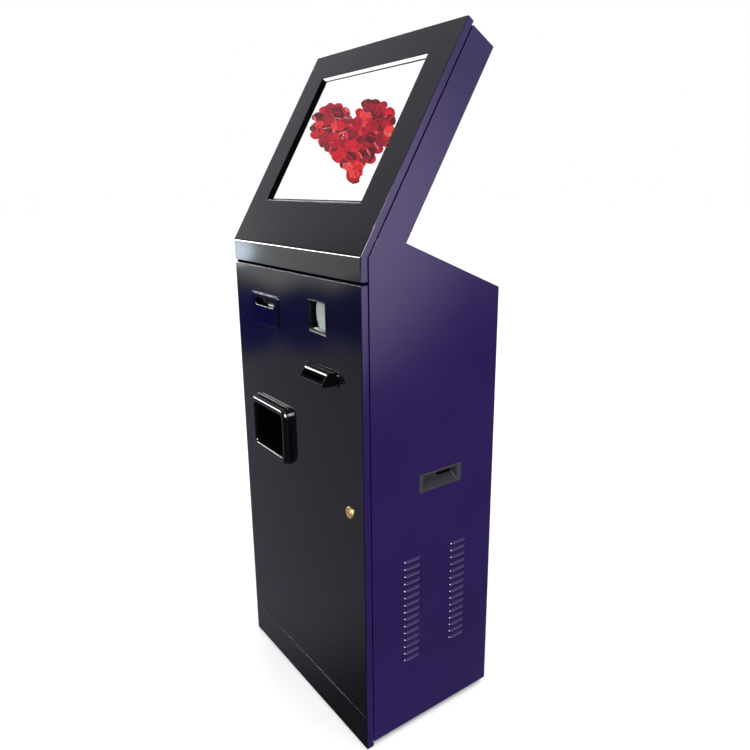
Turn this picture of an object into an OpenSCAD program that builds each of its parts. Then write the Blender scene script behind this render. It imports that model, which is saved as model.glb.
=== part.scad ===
// Ticket vending machine: a free-standing steel kiosk with a tilted screen head.
// Millimetres. +Z up, the customer stands on the -Y side, +X is the customer's right.
// The origin is on the floor, under the middle of the whole machine's box.
//
// Every module is drawn in the "kiosk" frame, where y = 0 is the front plane of the
// doors and z = 0 is the lower edge of the plinth; placed() moves it to the origin.

/* [Cabinet] */
// Width over the two side panels
body_w = 510; // [500:1:520]
// Depth from the door's front plane to the back of the side panels
body_d = 342.4; // [338:0.2:352]
// Height of the back edge, where the roof ends
back_z = 949.8; // [935:0.2:960]
// Distance behind the doors at which the roof meets the head
roof_y = 101.6; // [98:0.2:106]
// Thickness of the folded steel sheet
sheet = 2; // [1.5:0.25:2]
// Height of the side panels' lower edge
skirt_z = 11.2; // [8:0.2:14]

/* [Doors] */
// Thickness of a door, from its front plane to its open back
door_t = 16; // [15:0.5:16]
// Gap between a door's back and the cabinet's front edge
door_gap = 2.5; // [2.5:0.1:3]
// Thickness of the black facing sheet
face_t = 1.5; // [1:0.1:1.5]
// Bond line behind the head door's facing and its screen surround
bond = 0.02; // [0.02:0.01:0.05]
// Top of the plinth and bottom of the lower door
plinth_top = 76.9; // [70:0.1:84]
// Top of the lower door
door_top = 983.2; // [980:0.1:984]
// Visible gap between stacked fronts
seam = 1.4; // [1:0.1:2]

/* [Head] */
// Tilt of the screen from vertical, in degrees
tilt = 30.6; // [28:0.2:33]
// Bottom of the head door's upright strip
head_z = 988.6; // [988:0.1:991]
// Height of the fold between the upright strip and the tilted panel
fold_z = 1034.6; // [1030:0.2:1040]
// Length of the tilted panel along its slope
head_len = 472.4; // [466:0.2:480]
// Thickness of the head, square to the screen
head_t = 79; // [77:0.5:84]
// How far the head door stands above the head's top panel
top_drop = 6.7; // [6.6:0.1:7.2]
// Width of the screen opening
screen_w = 370; // [366:1:374]
// Lower edge of the screen opening, along the slope
screen_lo = 99.4; // [96:0.2:103]
// Upper edge of the screen opening, along the slope
screen_hi = 408.7; // [405:0.2:412]
// Depth of the glass behind the front plane
screen_deep = 10; // [9:0.5:11]

/* [Side details] */
// Louvres in each column
louvre_count = 15; // [8:1:16]
// Distance from one louvre to the next
louvre_pitch = 16.73; // [14:0.01:17]
// Height of the topmost louvre
louvre_top = 404.5; // [380:0.5:420]
// Length of one louvre hood
louvre_len = 43; // [36:1:46]
// How far a louvre hood stands out
louvre_out = 3.2; // [2.5:0.1:3.5]
// Middle of the flush handle, from the front plane
handle_y = 192.4; // [185:0.2:200]
// Middle height of the flush handle
handle_z = 570.6; // [560:0.2:590]

/* [Hidden] */
$fn = 48;

// Colours
purple = "#33245f";
black_gloss = "#26252a";
black_plastic = "#1d1d20";
dark_grey = "#3b3c40";
zinc = "#b4b7bb";
brass = "#b08d45";

// Derived cabinet sizes
half_w = body_w / 2;
in_w = half_w - sheet;
edge_y = door_t + door_gap;
edge_s = (edge_y - edge_y * cos(tilt)) / sin(tilt);
top_s = head_len - top_drop;
roof_s = (roof_y - head_t * cos(tilt)) / sin(tilt);
roof_front = slope_pt(head_t, roof_s);
roof_angle = atan2(roof_front[1] - back_z, body_d - roof_y);
roof_drop = sheet / cos(roof_angle);

// Overall depth: the bill mouth in front, the mains inlet's rim behind
snout_out = 27;
screw_head_h = 1.6;
inlet_out = 2.4;
y_mid = (body_d + inlet_out - snout_out) / 2;
floor_gap = 2;

// Louvres
louvre_r = 6;
louvre_rise = sqrt(louvre_r * louvre_r - pow(louvre_r - louvre_out, 2));
louvre_y = [118.5, 245.2];

// Levelling feet
foot_x = 205;
foot_y = [62, 300];
foot_r = 19;
stud_r = 5;

// Lower door hinges: the axis runs up inside the door's left edge
hinge_x = -half_w + 9;
hinge_y = 9;
hinge_z = [160, 530, 900];
knuckle_r = 4.2;
pin_r = 2;
run_gap = 0.05;
knuckle_h = 14;

// Head door hinges: the axis lies on the head's top panel, behind the door's upper edge
head_axis_d = door_t + 3.7;
head_axis_s = top_s + 3.45;
head_knuckle_r = 3.2;
head_pin_r = 1.6;
head_hinge_x = [-160, 160];

// Cam lock
lock_x = 207.6;
lock_z = 531.5;
lock_r = 9.5;
plug_r = 6.5;
cam_y = 23;
cam_len = 42;

// Card reader, scanner, bill mouth and ticket bin, all on the lower door
card_lo = [-175, 855];
card_hi = [-50, 924];
slot_lo = [-155, 898];
slot_hi = [-69, 914];
scan_lo = [76.5, 876.5];
scan_hi = [136, 936];
bill_x = 116;
bill_mouth_w = 74;
bill_slot_z = [790, 796];
bin_lo = [-163, 570];
bin_hi = [-34, 666];
bin_rim = 24;
bin_deep = 96;

// Ticket printer
printer_x = -101;
roll_r = 40;
roll_w = 80;
roll_y = 128;
roll_z = 778;
platen_r = 8;
platen_y = 47;
platen_z = 716;
spindle_r = 6;

// Fan
fan_size = 120;
fan_z = 800;
fan_t = 25;

// ---------------------------------------------------------------- helpers

// Point [y, z] at depth d behind the tilted front plane and s up its slope
function slope_pt(d, s) =
  [d * cos(tilt) + s * sin(tilt), fold_z - d * sin(tilt) + s * cos(tilt)];

module placed() { translate([0, -y_mid, floor_gap]) children(); }

// Children drawn with y = depth behind the tilted plane and z = distance up the slope
module on_slope() { translate([0, 0, fold_z]) rotate([-tilt, 0, 0]) children(); }

// Box between two corners
module block(lo, hi) { translate(lo) cube(hi - lo); }

// A [y, z] outline extruded along X, between x0 and x1
module along_x(x0, x1) { translate([x0, 0, 0]) rotate([90, 0, 90]) linear_extrude(x1 - x0) children(); }

// An [x, z] outline extruded along Y, between y0 and y1
module along_y(y0, y1) { translate([0, y1, 0]) rotate([90, 0, 0]) linear_extrude(y1 - y0) children(); }

// Cylinder along Y from y0 to y1, centred on x, z
module rod_y(r, y0, y1, x, z) { translate([x, y0, z]) rotate([-90, 0, 0]) cylinder(r = r, h = y1 - y0); }

// Cylinder along X from x0 to x1, centred on y, z
module rod_x(r, x0, x1, y, z) { translate([x0, y, z]) rotate([0, 90, 0]) cylinder(r = r, h = x1 - x0); }

// Rectangle between two corners with round corners of radius r
module round_rect(lo, hi, r) {
  translate([lo[0] + r, lo[1]]) square([hi[0] - lo[0] - 2 * r, hi[1] - lo[1]]);
  translate([lo[0], lo[1] + r]) square([hi[0] - lo[0], hi[1] - lo[1] - 2 * r]);
  for (x = [lo[0] + r, hi[0] - r], z = [lo[1] + r, hi[1] - r]) translate([x, z]) circle(r);
}

// Open-backed tray: a sheet front with a folded return on all four sides
module tray(lo, hi, y0, y1) {
  difference() {
    block([lo[0], y0, lo[1]], [hi[0], y1, hi[1]]);
    block([lo[0] + sheet, y0 + sheet, lo[1] + sheet], [hi[0] - sheet, y1 + 1, hi[1] - sheet]);
  }
}

// ---------------------------------------------------------------- cabinet

module side_outline() {
  polygon([
    [edge_y, skirt_z], [body_d, skirt_z], [body_d, back_z], roof_front,
    slope_pt(head_t, top_s), slope_pt(edge_y, top_s), slope_pt(edge_y, edge_s)]);
}

// Rounded bar of radius r whose crest stands louvre_out proud of the side panel
module louvre_bar(r, y, z) {
  half = louvre_len / 2 - louvre_rise;
  translate([half_w + louvre_out - louvre_r, y, z]) {
    rotate([90, 0, 0]) cylinder(r = r, h = 2 * half, center = true, $fn = 32);
    if (r == louvre_r) for (end = [-1, 1]) translate([0, end * half, 0]) sphere(r = r, $fn = 32);
  }
}

// Pressed hood: the bar's upper half, open underneath
module louvre_hood(y, z) {
  difference() {
    louvre_bar(louvre_r, y, z);
    translate([half_w - 20, y - louvre_len, z - 20]) cube([40, 2 * louvre_len, 20]);
    translate([in_w - 20, y - louvre_len, z - 1]) cube([20, 2 * louvre_len, 20]);
  }
}

module louvre_mouth(y, z) {
  difference() {
    louvre_bar(louvre_r - 1, y, z);
    translate([half_w - 20, y - louvre_len, z - 20]) cube([40, 2 * louvre_len, 20]);
  }
}

module side_panel() {
  at = [for (y = louvre_y, i = [0 : louvre_count - 1]) [y, louvre_top - i * louvre_pitch]];
  difference() {
    union() {
      along_x(in_w, half_w) side_outline();
      for (p = at) louvre_hood(p[0], p[1]);
    }
    for (p = at) louvre_mouth(p[0], p[1]);
    block([in_w - 1, handle_y - 50, handle_z - 17.6], [half_w + 1, handle_y + 50, handle_z + 17.6]);
  }
}

module side_panel_right() { color(purple) side_panel(); }

module side_panel_left() { color(purple) mirror([1, 0, 0]) side_panel(); }

module roof_panel() {
  color(purple) along_x(-in_w, in_w) polygon([
    roof_front, [body_d, back_z], [body_d, back_z - roof_drop], roof_front - [0, roof_drop]]);
}

module head_back_panel() {
  color(purple) on_slope() block([-in_w, head_t - sheet, roof_s], [in_w, head_t, top_s]);
}

module head_top_panel() {
  lip = 14;
  color(purple) on_slope() {
    block([-in_w, edge_y, top_s - sheet], [in_w, head_t - sheet, top_s]);
    block([-in_w, edge_y, top_s - lip], [in_w, edge_y + sheet, top_s - sheet]);
  }
}

// Rear cover: screwed over the back, with an exhaust grille above and intake slots below
cover_lo = [-in_w + 1, 132];
cover_hi = [in_w - 1, 946];
slot_h = 5;

module rear_cover() {
  rows = 9;
  color(purple) difference() {
    block([cover_lo[0], body_d - sheet, cover_lo[1]], [cover_hi[0], body_d, cover_hi[1]]);
    for (i = [0 : rows - 1]) let (dz = (i - (rows - 1) / 2) * 11, half = sqrt(54 * 54 - dz * dz))
      block([-half, body_d - sheet - 1, fan_z + dz - slot_h / 2], [half, body_d + 1, fan_z + dz + slot_h / 2]);
    for (x = [-120, 40], i = [0 : rows - 1])
      block([x, body_d - sheet - 1, 200 + i * 14], [x + 80, body_d + 1, 200 + i * 14 + slot_h]);
    for (p = cover_screw_at) rod_y(2.2, body_d - sheet - 1, body_d + 1, p[0], p[1]);
  }
}

cover_screw_at = [for (x = [-235, 235], z = [150, 400, 660, 912]) [x, z]];

module rear_cover_screws() {
  color(zinc) for (p = cover_screw_at) {
    rod_y(4, body_d, body_d + screw_head_h, p[0], p[1]);
    rod_y(2, body_d - 9, body_d + 0.5, p[0], p[1]);
  }
}

// Fixed lower part of the back, which carries the mains inlet
inlet_x = 150;
inlet_z = 72;

module rear_sill() {
  color(purple) difference() {
    block([-in_w, body_d - sheet, skirt_z], [in_w, body_d, cover_lo[1] - 1]);
    block([inlet_x - 14, body_d - 8, inlet_z - 24], [inlet_x + 14, body_d + 1, inlet_z + 24]);
  }
}

// Upright strips inside the back, which take the cover's screws
module cover_flanges() {
  color(purple) difference() {
    for (side = [0, 1]) mirror([side, 0, 0])
      block([in_w - 30, body_d - 2 * sheet - 0.2, skirt_z + 8], [in_w, body_d - sheet, 944]);
    for (p = cover_screw_at) rod_y(2, body_d - 12, body_d - 1, p[0], p[1]);
  }
}

// Base pan: carries the feet, the floor anchors and the cable entry
anchor_x = 190;
anchor_y = [110, 250];
anchor_r = 6;
entry_y = 290;
entry_r = 20;
entry_x = 60;

module base_pan() {
  lip = 22;
  y0 = edge_y;
  y1 = body_d - sheet;
  color(zinc) difference() {
    block([-in_w, y0, skirt_z], [in_w, y1, skirt_z + lip]);
    block([-in_w + sheet, y0 + sheet, skirt_z + sheet], [in_w - sheet, y1 - sheet - 2.5, skirt_z + lip + 1]);
    for (x = [-anchor_x, anchor_x], y = anchor_y) translate([x, y, 0]) cylinder(r = anchor_r, h = 30);
    for (x = [-foot_x, foot_x], y = foot_y) translate([x, y, 0]) cylinder(r = stud_r, h = 30);
    translate([entry_x, entry_y, 0]) cylinder(r = entry_r, h = 30);
    block([-in_w - 1, y1 - sheet - 0.5, skirt_z + 7], [in_w + 1, y1 + 1, skirt_z + lip + 1]);
  }
}

// Four levelling feet: a pad, a threaded stud and a lock nut on top of the pan
module levelling_feet() {
  color(dark_grey) for (x = [-foot_x, foot_x], y = foot_y) translate([x, y, -floor_gap]) {
    cylinder(r = foot_r, h = 6);
    translate([0, 0, 5.9]) cylinder(r = 11, h = skirt_z + floor_gap - 5.9);
    cylinder(r = stud_r, h = 42);
    translate([0, 0, skirt_z + floor_gap + sheet]) cylinder(r = 9.8, h = 6, $fn = 6);
  }
}

module cable_grommet() {
  color(black_plastic) translate([entry_x, entry_y, skirt_z]) difference() {
    union() {
      translate([0, 0, sheet]) cylinder(r = entry_r + 4, h = 3);
      cylinder(r = entry_r, h = sheet + 1);
    }
    translate([0, 0, -1]) cylinder(r = entry_r - 4, h = 10);
  }
}

// Channel between the two fronts: a stop for both doors
rail_z = [966, 1000];

module cross_rail() {
  color(purple) difference() {
    block([-in_w, edge_y + sheet, rail_z[0]], [in_w - jamb_in, edge_y + 24, rail_z[1]]);
    block([-in_w - 1, edge_y + 2 * sheet, rail_z[0] + sheet], [in_w + 1, edge_y + 25, rail_z[1] - sheet]);
  }
}

// Upright behind the lower door's free edge: the lock's cam turns behind it
jamb_in = 14;

module lock_jamb() {
  color(purple) difference() {
    block([in_w - jamb_in, edge_y, skirt_z + 24], [in_w, edge_y + sheet + 14, 1020]);
    block([in_w - jamb_in - 1, edge_y + sheet, skirt_z], [in_w - sheet, edge_y + sheet + 15, 1021]);
  }
}

module plinth_shell() {
  color(purple) {
    tray([-half_w, 0], [half_w, plinth_top - seam], face_t, door_t);
    for (x = [-in_w + 20, in_w - 40])
      block([x, face_t + sheet, 15], [x + 20, edge_y, 31]);
  }
}

module plinth_face() {
  color(black_gloss) block([-half_w + 0.8, 0, 0.8], [half_w - 0.8, face_t, plinth_top - seam - 0.8]);
}

module door_bumpers() {
  color(black_plastic) {
    for (z = [120, 900]) rod_y(5, door_t + 0.3, edge_y, in_w - 7.5, z);
    for (x = [-150, 150]) rod_y(4, door_t + 0.3, edge_y + sheet, x, 995);
  }
}

// Flush handle: a moulded cup with a thin rim, pressed in from outside
handle_l = 113.4;
handle_h = 40.2;
cup_deep = 20;

module handle() {
  wall = 2;
  rim_y = handle_l / 2;
  rim_z = handle_h / 2;
  cup_y = 46.5;
  cup_z = 17.2;
  color(black_plastic) translate([0, handle_y, handle_z]) difference() {
    union() {
      translate([half_w, 0, 0]) rotate([90, 0, 90]) linear_extrude(1.6)
        round_rect([-rim_y, -rim_z], [rim_y, rim_z], 4);
      block([half_w - cup_deep, -cup_y - wall, -cup_z], [half_w + 0.5, cup_y + wall, cup_z]);
    }
    block([half_w - cup_deep + wall, -cup_y + 3, -cup_z + 1.7], [half_w + 3, cup_y - 3, cup_z - 1.7]);
  }
}

module handle_right() { handle(); }

module handle_left() { mirror([1, 0, 0]) handle(); }

// ---------------------------------------------------------------- cabinet's equipment

module computer_case() {
  pan_top = skirt_z + sheet;
  color(dark_grey) difference() {
    union() {
      block([-165, 50, pan_top + 6], [-5, 300, 322]);
      for (x = [-150, -20], y = [70, 280]) translate([x, y, pan_top]) cylinder(r = 7, h = 6.5);
    }
    for (i = [0 : 7]) block([-150, 49, 60 + i * 12], [-90, 53, 66 + i * 12]);
    rod_y(9, 49, 52, -50, 280);
  }
}

module power_supply() {
  pan_top = skirt_z + sheet;
  color(zinc) {
    block([40, 100, pan_top], [140, 250, pan_top + 50]);
    block([50, 92, pan_top + 6], [130, 100, pan_top + 22]);
  }
}

module fan_frame() {
  half = fan_size / 2;
  y1 = body_d - sheet;
  color(black_plastic) difference() {
    along_y(y1 - fan_t, y1) round_rect([-half, fan_z - half], [half, fan_z + half], 5);
    rod_y(56, y1 - fan_t + 4, y1 + 1, 0, fan_z);
    difference() {
      rod_y(56, y1 - fan_t - 1, y1 - 4, 0, fan_z);
      rod_y(20, y1 - fan_t - 2, y1 - fan_t + 4, 0, fan_z);
      for (turn = [45 : 90 : 315]) translate([0, y1 - fan_t - 2, fan_z]) rotate([0, turn, 0])
        block([0, 0, -3], [60, 6, 3]);
    }
    for (x = [-52.5, 52.5], z = [-52.5, 52.5]) rod_y(2.2, y1 - fan_t - 1, y1 + 1, x, fan_z + z);
    rod_y(2 + run_gap, y1 - fan_t - 1, y1, 0, fan_z);
  }
}

module fan_rotor() {
  y1 = body_d - sheet - 3;
  y0 = body_d - sheet - fan_t + 4.6;
  blades = 7;
  color(dark_grey) {
    rod_y(20, y0, y1, 0, fan_z);
    rod_y(2, y0 - 4, y0 + 1, 0, fan_z);
    for (i = [0 : blades - 1]) translate([0, 0, fan_z]) rotate([0, i * 360 / blades, 0])
      translate([19, (y0 + y1) / 2, 0]) rotate([35, 0, 0]) translate([0, -0.8, -11]) cube([34, 1.6, 22]);
  }
}

module power_inlet() {
  y1 = body_d;
  color(black_plastic) difference() {
    union() {
      block([inlet_x - 20, y1, inlet_z - 27], [inlet_x + 20, y1 + inlet_out, inlet_z + 27]);
      block([inlet_x - 14, y1 - 26, inlet_z - 24], [inlet_x + 14, y1 + 0.5, inlet_z + 24]);
    }
    block([inlet_x - 11.5, y1 - 16, inlet_z - 20], [inlet_x + 11.5, y1 + 3, inlet_z - 4]);
    block([inlet_x - 11, y1 - 12, inlet_z + 2.5], [inlet_x + 11, y1 + 3, inlet_z + 17.5]);
    rod_x(1.5 + run_gap, inlet_x - 13, inlet_x + 13, rocker_y, rocker_z);
  }
  color(brass) for (p = [[-6.5, -12], [6.5, -12], [0, -8.5]])
    block([inlet_x + p[0] - 1, y1 - 17, inlet_z + p[1] - 2], [inlet_x + p[0] + 1, y1 - 5, inlet_z + p[1] + 2]);
}

// Rocker: turns about X in the upper window of the inlet
rocker_y = body_d - 4;
rocker_z = inlet_z + 10;

module rocker_switch() {
  color("#8c1f1f") {
    along_x(inlet_x - 10.5, inlet_x + 10.5) polygon([
      [rocker_y - 4, rocker_z - 3.5], [rocker_y + 3.2, rocker_z - 6.6], [rocker_y + 4.2, rocker_z],
      [rocker_y + 6.2, rocker_z + 5.5], [rocker_y - 4, rocker_z + 3.5]]);
    rod_x(1.5, inlet_x - 12.5, inlet_x + 12.5, rocker_y, rocker_z);
  }
}

// ---------------------------------------------------------------- lower door's hinges and latch

arm_x = hinge_x + 12;
arm_t = 2;

// Goose-neck arms: from the pin, inwards, back and out again to the side panel
module door_hinge_arms() {
  foot_end = edge_y + 24;
  color(zinc) for (z = hinge_z) translate([0, 0, z]) difference() {
    union() {
      translate([hinge_x, hinge_y, -knuckle_h / 2]) cylinder(r = knuckle_r, h = knuckle_h);
      translate([0, 0, -knuckle_h / 2]) linear_extrude(knuckle_h) {
        translate([hinge_x, hinge_y - arm_t / 2]) square([arm_x - hinge_x, arm_t]);
        translate([arm_x - arm_t, hinge_y - arm_t / 2]) square([arm_t, edge_y + 6 - hinge_y + arm_t / 2]);
        translate([-in_w, edge_y + 4]) square([arm_x + in_w, arm_t]);
        translate([-in_w, edge_y + 4]) square([arm_t, foot_end - edge_y - 4]);
      }
    }
    translate([hinge_x, hinge_y, -knuckle_h]) cylinder(r = pin_r + run_gap, h = 2 * knuckle_h);
  }
}

module door_hinge_leaves() {
  leaf_y = face_t + sheet;
  color(zinc) for (z = hinge_z, end = [-1, 1]) translate([0, 0, z + end * (knuckle_h + 0.4)]) difference() {
    union() {
      translate([hinge_x, hinge_y, -knuckle_h / 2]) cylinder(r = knuckle_r, h = knuckle_h);
      block([hinge_x - knuckle_r, leaf_y, -knuckle_h / 2], [hinge_x + 26, leaf_y + 1.5, knuckle_h / 2]);
    }
    translate([hinge_x, hinge_y, -knuckle_h]) cylinder(r = pin_r, h = 2 * knuckle_h);
  }
}

module door_hinge_pins() {
  reach = 1.5 * knuckle_h + 1.5;
  color(zinc) for (z = hinge_z) translate([hinge_x, hinge_y, z - reach]) cylinder(r = pin_r, h = 2 * reach);
}

// Slide bolt on the cross rail that holds the head door shut; drawn withdrawn
bolt_x = 60;
bolt_y = edge_y + 34;
bolt_r = 5;
bolt_travel = 14;
bolt_tip = 1001;

module latch_housing() {
  color(zinc) difference() {
    union() {
      block([bolt_x - 15, edge_y + 24, rail_z[0] + 2], [bolt_x + 15, edge_y + 26, rail_z[1]]);
      block([bolt_x - 9, edge_y + 26, rail_z[0] + 18], [bolt_x + 9, bolt_y + 8, rail_z[1]]);
    }
    translate([bolt_x, bolt_y, rail_z[0]]) cylinder(r = bolt_r + run_gap, h = 50);
  }
}

module latch_bolt() {
  color(zinc) translate([bolt_x, bolt_y, 0]) {
    translate([0, 0, 950]) cylinder(r = bolt_r, h = bolt_tip - 950);
    translate([0, 0, 956]) rotate([-90, 0, 0]) cylinder(r = 3.5, h = 26);
    translate([0, 26, 956]) sphere(r = 7);
  }
}

// Catch on the head door: an angle whose flat has the bolt's hole
module latch_catch() {
  color(zinc) difference() {
    union() {
      block([bolt_x - 16, face_t + sheet, 1003.5], [bolt_x + 16, bolt_y + 11, 1006]);
      block([bolt_x - 16, face_t + sheet, 1006], [bolt_x + 16, face_t + 2 * sheet, 1026]);
    }
    translate([bolt_x, bolt_y, 1000]) cylinder(r = bolt_r + 1.2, h = 10);
  }
}

// ---------------------------------------------------------------- lower door

card_throat = 1.5;

module door_openings() {
  gap = 0.4;
  block([slot_lo[0] - card_throat - gap, -1, slot_lo[1] - card_throat - gap],
    [slot_hi[0] + card_throat + gap, 8, slot_hi[1] + card_throat + gap]);
  block([scan_lo[0] - 2.4, -1, scan_lo[1] - 2.4], [scan_hi[0] + 2.4, 8, scan_hi[1] + 2.4]);
  block([bill_x - bill_mouth_w / 2 - 3.4, -1, bill_slot_z[0] - 3.4],
    [bill_x + bill_mouth_w / 2 + 3.4, 8, bill_slot_z[1] + 3.4]);
  block([bin_lo[0] - 2.4, -1, bin_lo[1] - 2.4], [bin_hi[0] + 2.4, 8, bin_hi[1] + 2.4]);
  rod_y(lock_r, -1, 8, lock_x, lock_z);
}

module front_door_shell() {
  color(purple) difference() {
    tray([-half_w, plinth_top], [half_w, door_top], face_t, door_t);
    door_openings();
  }
}

module front_door_face() {
  color(black_gloss) difference() {
    block([-half_w + 0.8, 0, plinth_top + 0.8], [half_w - 0.8, face_t, door_top - 0.8]);
    door_openings();
  }
}

module card_reader_bezel() {
  out = 3;
  color(black_plastic) difference() {
    union() {
      along_y(-out, 0) round_rect(card_lo, card_hi, 6);
      block([slot_lo[0] - card_throat, -0.5, slot_lo[1] - card_throat],
        [slot_hi[0] + card_throat, 14, slot_hi[1] + card_throat]);
    }
    block([slot_lo[0], -out - 1, slot_lo[1]], [slot_hi[0], 15, slot_hi[1]]);
  }
}

module card_reader_body() {
  cx = (slot_lo[0] + slot_hi[0]) / 2;
  cz = (slot_lo[1] + slot_hi[1]) / 2;
  color(dark_grey) difference() {
    block([cx - 52, 14, 866], [cx + 52, 160, 922]);
    block([cx - 28, 13, cz - 2.5], [cx + 28, 120, cz + 2.5]);
  }
}

module scanner_frame() {
  wall = 2;
  color(black_plastic) difference() {
    union() {
      block([scan_lo[0] - wall, -1, scan_lo[1] - wall], [scan_hi[0] + wall, 34, scan_hi[1] + wall]);
      block([scan_lo[0] - 12, face_t + sheet, scan_lo[1] - 12], [scan_hi[0] + 12, 6, scan_hi[1] + 12]);
    }
    block([scan_lo[0], -2, scan_lo[1]], [scan_hi[0], 35, scan_hi[1]]);
  }
}

module scanner_window() {
  color("#5a6068") block([scan_lo[0], 8, scan_lo[1]], [scan_hi[0], 10, scan_hi[1]]);
}

// Reading engine, set across the box behind the window
module scanner_module() {
  cx = (scan_lo[0] + scan_hi[0]) / 2;
  cz = (scan_lo[1] + scan_hi[1]) / 2;
  color(dark_grey) {
    block([scan_lo[0] - 2, 34, scan_lo[1] - 2], [scan_hi[0] + 2, 78, scan_hi[1] + 2]);
    block([cx + 2, 16, cz - 22], [cx + 26, 34, cz + 22]);
    rod_y(9, 18, 34, cx - 14, cz);
  }
}

module bill_snout() {
  flange_w = 122;
  snout_w = 86;
  color(black_plastic) difference() {
    union() {
      along_y(-2.5, 0) round_rect([bill_x - flange_w / 2, 777], [bill_x + flange_w / 2, 808], 8);
      along_x(bill_x - snout_w / 2, bill_x + snout_w / 2)
        polygon([[-1, 778], [-24, 779.6], [-snout_out, 782], [-snout_out, 786], [-14, 802], [-11, 804], [-1, 806]]);
      block([bill_x - bill_mouth_w / 2 - 3, -1, bill_slot_z[0] - 3],
        [bill_x + bill_mouth_w / 2 + 3, 14, bill_slot_z[1] + 3]);
    }
    block([bill_x - bill_mouth_w / 2, -snout_out - 1, bill_slot_z[0]], [bill_x + bill_mouth_w / 2, 15, bill_slot_z[1]]);
  }
}

acceptor_lo = [66, 745];
acceptor_hi = [166, 850];
acceptor_back = 170;

module bill_acceptor() {
  color(dark_grey) difference() {
    block([acceptor_lo[0], 14, acceptor_lo[1]], [acceptor_hi[0], acceptor_back, acceptor_hi[1]]);
    block([bill_x - bill_mouth_w / 2, 13, bill_slot_z[0]], [bill_x + bill_mouth_w / 2, 120, bill_slot_z[1]]);
  }
}

box_floor = 560;

// U-shaped cradle that hangs under the acceptor and guides the cash box
module cash_box_cradle() {
  plate_y = face_t + sheet;
  color(zinc) {
    block([acceptor_lo[0] - 3, plate_y, box_floor - 3], [acceptor_hi[0] + 3, plate_y + sheet, acceptor_lo[1]]);
    difference() {
      block([acceptor_lo[0] - 3, plate_y + sheet, box_floor - 3], [acceptor_hi[0] + 3, 164, acceptor_lo[1]]);
      block([acceptor_lo[0] - 0.5, 0, box_floor - 0.5], [acceptor_hi[0] + 0.5, 165, acceptor_lo[1] + 1]);
    }
  }
}

module cash_box() {
  color(dark_grey) {
    block([acceptor_lo[0], 24, box_floor], [acceptor_hi[0], acceptor_back, acceptor_lo[1] - 0.8]);
    translate([bill_x, acceptor_back - 0.5, 690]) difference() {
      block([-30, 0, -8], [30, 20, 8]);
      block([-22, -1, -9], [22, 14, 9]);
    }
  }
}

// ---------------------------------------------------------------- ticket printer and bin

plate_x = 60;

module printer_frame() {
  color(zinc) {
    difference() {
      for (side = [-1, 1]) translate([printer_x + side * plate_x - 1, 0, 0])
        block([0, face_t + sheet, 700], [2, 186, 846]);
      rod_x(3 + run_gap, printer_x - 70, printer_x + 70, platen_y, platen_z);
    }
    block([printer_x - plate_x + 1, face_t + sheet, 700], [printer_x + plate_x - 1, face_t + 2 * sheet, 846]);
    block([printer_x - plate_x + 1, 62, 700], [printer_x + plate_x - 1, 64, 752]);
    rod_x(spindle_r, printer_x - plate_x - 4, printer_x + plate_x + 4, roll_y, roll_z);
  }
}

module paper_roll() {
  color("#efede6") difference() {
    rod_x(roll_r, printer_x - roll_w / 2, printer_x + roll_w / 2, roll_y, roll_z);
    rod_x(spindle_r + 0.08, printer_x - roll_w, printer_x + roll_w, roll_y, roll_z);
  }
}

module platen_roller() {
  color(black_plastic) {
    rod_x(platen_r, printer_x - 42, printer_x + 42, platen_y, platen_z);
    rod_x(3, printer_x - plate_x - 6, printer_x + plate_x + 6, platen_y, platen_z);
    rod_x(12, printer_x + plate_x + 1.6, printer_x + plate_x + 6, platen_y, platen_z);
  }
}

chute_lo = [-143, 32];
chute_hi = [-59, 62];
tray_top = 676;

module ticket_chute() {
  wall = 1.5;
  color(zinc) difference() {
    block([chute_lo[0], chute_lo[1], tray_top], [chute_hi[0], chute_hi[1], 700]);
    block([chute_lo[0] + wall, chute_lo[1] + wall, tray_top - 1], [chute_hi[0] - wall, chute_hi[1] - wall, 701]);
  }
}

// Rounded bin surround: it widens towards the door
module ticket_bin_frame() {
  color(black_plastic) difference() {
    union() {
      along_y(-6, 0) round_rect([bin_lo[0] - 26, bin_lo[1] - 22], [bin_hi[0] + 20, bin_hi[1] + 19], bin_rim);
      along_y(-12, -6) round_rect([bin_lo[0] - 20, bin_lo[1] - 17], [bin_hi[0] + 13, bin_hi[1] + 15], 20);
      along_y(-17, -12) round_rect([bin_lo[0] - 14, bin_lo[1] - 12], [bin_hi[0] + 7, bin_hi[1] + 11], 16);
    }
    block([bin_lo[0], -20, bin_lo[1]], [bin_hi[0], 1, bin_hi[1]]);
  }
}

module ticket_bin_tray() {
  wall = 2;
  color(black_plastic) difference() {
    union() {
      block([bin_lo[0] - wall, 0, bin_lo[1] - wall], [bin_hi[0] + wall, 20, bin_hi[1] + wall]);
      block([bin_lo[0] - 8, 4, bin_lo[1] - 12], [bin_hi[0] + 8, bin_deep, tray_top]);
    }
    block([bin_lo[0], -1, bin_lo[1]], [bin_hi[0], 21, bin_hi[1]]);
    block([bin_lo[0] - 6, 16, bin_lo[1] - 10], [bin_hi[0] + 6, bin_deep - wall, tray_top - wall]);
    block([chute_lo[0] + 1.5, chute_lo[1] + 1.5, tray_top - 4], [chute_hi[0] - 1.5, chute_hi[1] - 1.5, tray_top + 1]);
  }
}

// ---------------------------------------------------------------- cam lock

module lock_barrel() {
  color(brass) difference() {
    union() {
      rod_y(12.3, -3, 0, lock_x, lock_z);
      rod_y(lock_r, -0.5, cam_y - 2, lock_x, lock_z);
      rod_y(13, face_t + sheet, face_t + sheet + 4, lock_x, lock_z);
    }
    rod_y(plug_r + run_gap, -4, cam_y, lock_x, lock_z);
  }
}

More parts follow.
